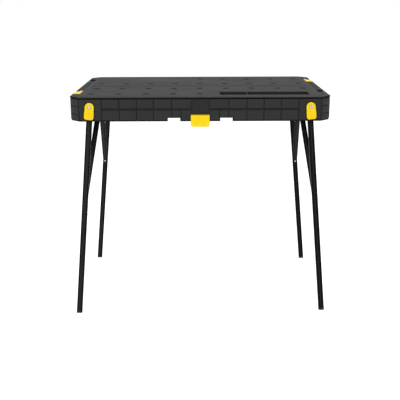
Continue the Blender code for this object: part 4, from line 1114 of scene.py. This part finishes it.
def build_foot(side, front, name):
    """Rubber cap with one groove, plugged into the tube and cut level with the floor."""
    outer = leg_outer(side)
    low, high = band(front, outer, outer - LEG_DEEP)
    half = LEG_WIDTH / 2
    lean = -side * math.tan(LEG_SPLAY)
    length = along_leg(side, HEIGHT)
    top = -length + FOOT_HIGH - GAP
    points = [(-half, top), (-half, -length - half * lean), (half, -length + half * lean), (half, top)]
    cap = slab(points, "XZ", low, high)
    soften(cap, LEG_EDGE, 4, 60, lambda e: reach(e, 2) > 0.003)
    soften(cap, FOOT_EDGE, 2, 50, lambda e: all(v.co.z < -length + 0.002 for v in e.verts))
    bottom, ceiling = (-length + z for z in FOOT_GROOVE)
    ring = box((-half - 0.001, half + 0.001), (low - 0.001, high + 0.001), (bottom, ceiling))
    core = box((-half + FOOT_GROOVE_DEEP, half - FOOT_GROOVE_DEEP),
               (low + FOOT_GROOVE_DEEP, high - FOOT_GROOVE_DEEP), (bottom - 0.001, ceiling + 0.001))
    cap = combined(cap, combined(ring, core))
    inside = half - LEG_WALL - GAP
    plug = box((-inside, inside), (low + LEG_SIDE_WALL + GAP, high - LEG_SIDE_WALL - GAP),
               (top - 0.001, top + PLUG_LONG))
    cap = united(cap, plug)
    cap.transform(leaning(side, pivot_depth(side)))
    piece("foot_boot_" + name, cap, frame_of(side), "foot_rubber", ["foot_cap_" + name])


def build_brace(side, front, name):
    """Pressed channel from the hub to the inner face of a leg, open on its upper side."""
    face = leg_outer(side) - LEG_DEEP - GAP
    top = -along_leg(side, BRACE_HIGH) - STEEL / 2 - GAP
    rivet = -along_leg(side, BRACE_LOW)
    start_at = (HUB_RIVET_Y + 0.010, top)
    meet = (face, rivet + 0.012)
    run = Vector((meet[0] - start_at[0], meet[1] - start_at[1])).normalized()
    under = (start_at[0] + run[1] * BRACE_THICK, start_at[1] - run[0] * BRACE_THICK)
    tab_under = top - BRACE_TAB
    low_y = under[0] + run[0] * (tab_under - under[1]) / run[1]
    tab_face = face - BRACE_TAB
    low_z = under[1] + run[1] * (tab_face - under[0]) / run[0]
    points = [
        (HUB_RIVET_Y - 0.008, top), start_at, meet, (face, rivet - 0.011),
        (tab_face, rivet - 0.011), (tab_face, low_z), (low_y, tab_under),
        (HUB_RIVET_Y - 0.008, tab_under)]
    half = BRACE_WIDTH / 2
    brace = slab([(front * y, z) for y, z in points], "YZ", -half, half)
    soften(brace, BRACE_EDGE, 3, 20, lambda e: reach(e, 0) < 0.001
           and (e.verts[0].co - e.verts[1].co).length > 0.015)
    inward = Vector((run[1], -run[0]))
    web = inward * (BRACE_THICK - BRACE_WALL)
    begin = Vector(start_at) + run * (2 * BRACE_THICK) + web
    stop = Vector(meet) - run * (2 * BRACE_THICK) + web
    out = inward * -2 * BRACE_THICK
    trough = [begin, stop, stop + out, begin + out]
    channel = slab([(front * y, z) for y, z in trough], "YZ", BRACE_WALL - half, half - BRACE_WALL)
    brace = combined(brace, channel)
    brace.transform(leaning(side, pivot_depth(side)))
    piece("brace_channel_" + name, brace, frame_of(side), "leg_paint", ["brace_" + name])


def softened_copy(node, name, body):
    """A packed steel piece again, with its edges rounded."""
    shape = bmesh.new()
    shape.from_mesh(frame["nodes"][node].data)
    bmesh.ops.remove_doubles(shape, verts=shape.verts, dist=1e-5)
    bmesh.ops.dissolve_limit(shape, angle_limit=0.01, verts=shape.verts, edges=shape.edges)
    soften(shape, FINE_EDGE, 2, 40)
    piece(name, shape, body, "zinc_steel", [node])


def build_rivets(side, front, name):
    """Domed rivets of one brace: one through the hub's plate, one into the leg."""
    lean = leaning(side, pivot_depth(side))
    flat = Matrix.Translation((0, front * HUB_RIVET_Y, -along_leg(side, BRACE_HIGH) + STEEL / 2 + GAP))
    tab = front * (leg_outer(side) - LEG_DEEP - BRACE_TAB - 2 * GAP)
    wall = Matrix.Translation((0, tab, -along_leg(side, BRACE_LOW)))
    wall = wall @ Matrix.Rotation(front * math.pi / 2, 4, "X")
    for node, place, stack in (("hub_rivet_" + name, flat, STEEL + BRACE_TAB + 3 * GAP),
                               ("brace_rivet_" + name, wall, LEG_SIDE_WALL + BRACE_TAB + 2 * GAP)):
        profile = RIVET_DOME + [(RIVET_RADIUS, 0.0), (RIVET_RADIUS, -stack), (0.0, -stack)]
        piece(node + "_dome", turned(profile, lean @ place), frame_of(side), "zinc_steel", [node])


def build_fasteners():
    """Screws with crossed slots, turned round and fine."""
    long = ROOF_BOTTOM + GAP - SCREW_TIP
    for node, x, y in roof_screws():
        profile = SCREW_DOME + [(SCREW_RADIUS, 0.0), (SCREW_RADIUS, -long), (0.0, -long)]
        flip = Matrix.Translation((x, y, level(ROOF_BOTTOM + GAP))) @ Matrix.Rotation(math.pi, 4, "X")
        screw = turned(profile, flip)
        cross = bmesh.new()
        for x_half, y_half in ((0.0004, 0.0021), (0.0021, 0.0004)):
            block(cross, (-x_half, x_half), (-y_half, y_half), (0.0009, 0.004), flip)
        screw = combined(screw, cross, overlaps=True)
        piece(node + "_head", screw, "bench_top", "zinc_steel", [node], BOLT_LOOK)


def build_levers():
    """Yellow levers with a sunk bolt seat and a ridged thumb pad."""
    face = SKIRT_FACE + GAP
    show = face + LEVER_THICK
    for side, front, name in corners():
        lever = slab(lever_outline(), "XZ", *band(front, face, show))
        soften(lever, LEVER_EDGE, 4, 40, lambda e: all(abs(v.co.y - front * show) < 1e-5 for v in e.verts))
        soften(lever, FINE_EDGE, 2, 40, lambda e: all(abs(v.co.y - front * face) < 1e-5 for v in e.verts))
        arm_outer = SKIRT_INSIDE - GAP if side < 0 else MIDDLE_CHEEK + GAP + STEEL + GAP
        boss = bmesh.new()
        rod(boss, (0, front * (arm_outer + GAP), 0), (0, front * (face + 0.001), 0), LEVER_BOSS)
        lever = united(lever, boss)
        cut = bmesh.new()
        rod(cut, (0, front * (show - LEVER_SEAT_DEEP), 0), (0, front * (show + OVER), 0), LEVER_SEAT)
        rod(cut, (0, front * (arm_outer - FAR_OVER), 0), (0, front * (face + FAR_OVER), 0), LEVER_BOLT + GAP)
        sunk = slab(oblong(*LEVER_PAD), "XZ", *band(front, show - LEVER_PAD_DEEP, show + OVER))
        soften(sunk, LEVER_PAD_ROUND, 5, 60, lambda e: reach(e, 1) > 0.002)
        merge(cut, sunk)
        lever = combined(lever, cut, overlaps=True)
        ridges = bmesh.new()
        y = front * (show - LEVER_RIDGE_SUNK)
        for step in range(4):
            z = LEVER_RIDGE_LOW + LEVER_RIDGE_PITCH * step
            rod(ridges, (-LEVER_RIDGE_HALF, y, z), (LEVER_RIDGE_HALF, y, z), LEVER_RIDGE, FINE_SIDES)
        lever = united(lever, ridges)
        lever.transform(leaning(side, BOLT_DEPTH))
        piece("lock_tab_" + name, lever, "lock_" + name, "yellow_plastic", ["lock_lever_" + name])
        build_bolt(side, front, name, show + GAP, arm_outer - STEEL)


def build_bolt(side, front, name, head_y, tip_y):
    """Round-headed bolt with a hexagon socket in the middle of a lever."""
    long = head_y - tip_y
    profile = BOLT_DOME + [(LEVER_BOLT, -0.0009), (LEVER_BOLT, -long), (0.0, -long)]
    bolt = turned(profile, sides=ROUND_SIDES)
    socket = bmesh.new()
    rod(socket, (0, 0, 0.0004), (0, 0, 0.004), 0.0021, 6)
    bolt = combined(bolt, socket)
    place = Matrix.Translation((0, front * head_y, 0)) @ Matrix.Rotation(-front * math.pi / 2, 4, "X")
    bolt.transform(leaning(side, BOLT_DEPTH) @ place)
    piece("bolt_" + name, bolt, "lock_" + name, "zinc_steel", ["lever_bolt_" + name], BOLT_LOOK)


# Latch and tongues


def build_latch():
    """Yellow latch: a rolled plate with side rims, a flared lip, two oval pads and a nose."""
    pivot_z = level(LATCH_PIVOT_DEPTH)
    arm_in = WIDE_LEG + LATCH_PLAY
    arm_out = arm_in + LATCH_ARM
    plate_in = SKIRT_FACE + 0.0005
    top = level(LATCH_PLATE_TOP)
    bend = level(LATCH_BEND)
    end = level(LATCH_END)
    drop = bend - end
    plate_out = plate_in + LATCH_SHEET
    front_line = [(plate_in + 0.0022, top), (plate_in + 0.0033, top - 0.0012), (plate_out, top - 0.004),
                  (plate_out, top - 0.009), (plate_out - 0.0002, bend + 0.003), (plate_out + 0.0003, bend)]
    back_line = [(plate_in, bend + 0.001), (plate_in, top)]
    steps = 8
    for step in range(1, steps + 1):
        share = step / steps
        out = plate_in + LATCH_FLARE * share ** 1.6
        front_line.append((min(out + LATCH_SHEET, LATCH_TIP), bend - drop * share + 0.0006 * (1 - share)))
        back_line.insert(0, (out, bend - drop * share))
    points = [(-y, z) for y, z in front_line + back_line]
    latch = slab(points, "YZ", -LATCH_HALF, LATCH_HALF)
    soften(latch, LATCH_EDGE, 3, 50, lambda e: reach(e, 0) < 0.001)
    keep = slab([(-LATCH_HALF - 0.001, top + 0.002), (-LATCH_HALF - 0.001, end - 0.0004),
                 (LATCH_HALF + 0.001, end - 0.0004), (LATCH_HALF + 0.001, top + 0.002)], "XZ", -0.33, -0.28)
    soften(keep, LATCH_CORNER, 8, 60, lambda e: all(v.co.z < end for v in e.verts) and reach(e, 1) > 0.01)
    latch = combined(latch, keep, "INTERSECT")
    arm_points = [
        (-LATCH_PIVOT_OUT, pivot_z), (-arm_out, pivot_z - 0.001),
        (-arm_out, level(LATCH_BEND - 0.012)), (-plate_in - 0.001, level(LATCH_BEND - 0.012)),
        (-plate_in - 0.001, level(LATCH_BEND - 0.002)), (-arm_in, level(LATCH_BEND - 0.002)),
        (-arm_in, pivot_z - LATCH_EYE + 0.0005), (-LATCH_PIVOT_OUT, pivot_z - LATCH_EYE + 0.0010)]
    latch = united(latch, slab(arm_points, "YZ", -LATCH_ARM_HALF, LATCH_ARM_HALF))
    eye = bmesh.new()
    rod(eye, (-LATCH_ARM_HALF, -LATCH_PIVOT_OUT, pivot_z),
        (LATCH_ARM_HALF, -LATCH_PIVOT_OUT, pivot_z), LATCH_EYE)
    latch = united(latch, eye)
    tip = WIDE_LEG - NOSE_REACH
    nose_top = level(LOWER_PIVOT + LEG_WIDTH / 2 + 0.0005)
    nose_low = nose_top - 0.0008
    nose_foot = nose_low - (arm_in - tip)
    nose = slab([(-arm_in - 0.001, nose_top), (-tip, nose_top), (-tip, nose_low),
                 (-arm_in, nose_foot), (-arm_in - 0.001, nose_foot)], "YZ", *NOSE_X)
    latch = united(latch, nose)
    latch = combined(latch, pin_hole(0.05))
    ovals = bmesh.new()
    for x in (-OVAL_X, OVAL_X):
        place = Matrix.Translation((x, -plate_out - 0.0022, level(OVAL_DEPTH)))
        place = place @ Matrix.Rotation(math.radians(OVAL_TILT), 4, "X") @ Matrix.Diagonal((*OVAL_SIZE, 1))
        bmesh.ops.create_uvsphere(ovals, u_segments=32, v_segments=16, radius=1.0, matrix=place)
    for side in (-1, 1):
        rim = box(band(side, LATCH_HALF - 0.0030, LATCH_HALF - 0.0003),
                  (-plate_out - 0.0005, -plate_out + 0.0008),
                  levels(LATCH_BEND - 0.0010, LATCH_PLATE_TOP + 0.0016))
        soften(rim, 0.0004, 2, 50, lambda e: all(v.co.y < -plate_out for v in e.verts))
        merge(ovals, rim)
    latch = united(latch, ovals)
    piece("latch_plate", latch, "latch", "yellow_plastic", ["front_latch"])


def build_tongues():
    """Yellow coupling tongues with finger ridges."""
    block_end = LINK_INNER_X + LINK_BLOCK
    for side, name, body in ((-1, "left_front", "tongue_left"), (1, "right_back", "tongue_right")):
        y = side * LINK_Y
        low = level(LINK_DEPTH - GAP)
        half = LINK_HALF_WIDTH
        tongue = box(band(side, LINK_INNER_X + GAP, block_end), (y - half, y + half), (low, level(GAP)))
        plate = box(band(side, block_end - 0.001, LINK_OUTER_X),
                    (y - half + 0.0003, y + half - 0.0003), (low, level(LINK_LOW)))
        wide = half + LINK_FLANGE
        wings = box(band(side, LINK_INNER_X + GAP, LINK_INNER_X + LINK_SHOULDER),
                    (y - wide, y + wide), (low, level(LINK_LOW + 2 * GAP)))
        tongue = united(united(tongue, plate), wings)
        soften(tongue, LINK_EDGE, 2, 50)
        ridges = bmesh.new()
        z = level(LINK_LOW)
        for step in range(3):
            x = side * (block_end + LINK_RIDGE_PITCH + LINK_RIDGE_PITCH * step)
            rod(ridges, (x, y - half + LINK_RIDGE_INSET, z), (x, y + half - LINK_RIDGE_INSET, z),
                LINK_RIDGE, FINE_SIDES)
        tongue = united(tongue, ridges)
        piece("coupling_tongue_" + name, tongue, body, "yellow_plastic", ["link_tongue_" + name])


# Studio


def seen_directly(tree):
    """1 for rays that see the background: from the camera, in gloss or through glass."""
    paths = tree.nodes.new("ShaderNodeLightPath")
    kinds = ("Is Camera Ray", "Is Glossy Ray", "Is Transmission Ray")
    camera, gloss, glass = (Wire(tree, paths.outputs[kind]) for kind in kinds)
    return (camera + gloss + glass).clamped(0.0, 1.0)


def build_studio():
    """Pale floor, soft lamps and the camera at the photograph's angle."""
    floor = bmesh.new()
    bmesh.ops.create_grid(floor, x_segments=1, y_segments=1, size=14.0)
    mesh = bpy.data.meshes.new("floor")
    floor.to_mesh(mesh)
    floor.free()
    ground = place_in_scene("floor", mesh)
    made = bpy.data.materials.new("floor")
    made.use_nodes = True
    tree = made.node_tree
    shader = tree.nodes["Principled BSDF"]
    shader.inputs["Base Color"].default_value = (0.90, 0.90, 0.90, 1)
    shader.inputs["Roughness"].default_value = 0.9
    shader.inputs["Specular IOR Level"].default_value = 0.0
    shader.inputs["Emission Color"].default_value = (1, 1, 1, 1)
    glow = seen_directly(tree) * FLOOR_GLOW
    tree.links.new(glow.socket, shader.inputs["Emission Strength"])
    mesh.materials.append(made)
    world = bpy.data.worlds.new("studio")
    bpy.context.scene.world = world
    world.use_nodes = True
    back = world.node_tree.nodes["Background"]
    strength = seen_directly(world.node_tree) * (1 - SKY) + SKY
    world.node_tree.links.new(strength.socket, back.inputs["Strength"])
    back.inputs["Color"].default_value = (1, 1, 1, 1)
    for place, size, power in LAMPS:
        lamp = bpy.data.lights.new("softbox", "AREA")
        lamp.shape = "SQUARE"
        lamp.size = size
        lamp.energy = power
        holder = place_in_scene("softbox", lamp)
        holder.location = place
        holder.rotation_euler = (LAMP_AIM - Vector(place)).to_track_quat("-Z", "Y").to_euler()
    yaw, pitch, roll = (math.radians(v) for v in (CAMERA_YAW, CAMERA_PITCH, CAMERA_ROLL))
    ahead = Vector((math.sin(yaw) * math.cos(pitch), math.cos(yaw) * math.cos(pitch), -math.sin(pitch)))
    right = Vector((math.cos(yaw), -math.sin(yaw), 0))
    up = right.cross(ahead)
    right, up = (right * math.cos(roll) + up * math.sin(roll), up * math.cos(roll) - right * math.sin(roll))
    turn = Matrix((right, up, -ahead)).transposed().to_4x4()
    lens = bpy.data.cameras.new("camera")
    lens.sensor_width = 36.0
    lens.lens = CAMERA_FOCAL / PICTURE * lens.sensor_width
    camera = place_in_scene("camera", lens)
    camera.matrix_world = Matrix.Translation(CAMERA_PLACE) @ turn
    bpy.context.scene.camera = camera
    bpy.context.scene.view_settings.view_transform = "Standard"


def dress_nodes():
    """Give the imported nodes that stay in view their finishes."""
    for part in frame["record"]["subparts"]:
        thing = frame["nodes"][part["node"]]
        for slot in thing.material_slots:
            slot.material = LOOKS[part["material_slot"]]


def main():
    """Build every piece and the studio."""
    dress_nodes()
    build_worktop()
    build_ruler()
    build_skirt()
    for side, front, name in corners():
        build_leg(side, front, name)
        build_foot(side, front, name)
        build_brace(side, front, name)
        build_rivets(side, front, name)
        softened_copy("bracket_" + name, "bracket_plate_" + name, "bench_top")
    for label in ("left", "right"):
        softened_copy("hub_bracket_" + label, "hub_saddle_" + label, "bench_top")
        softened_copy("hub_" + label, "hub_yoke_" + label, label + "_frame")
    build_fasteners()
    build_levers()
    build_latch()
    build_tongues()
    build_studio()


main()
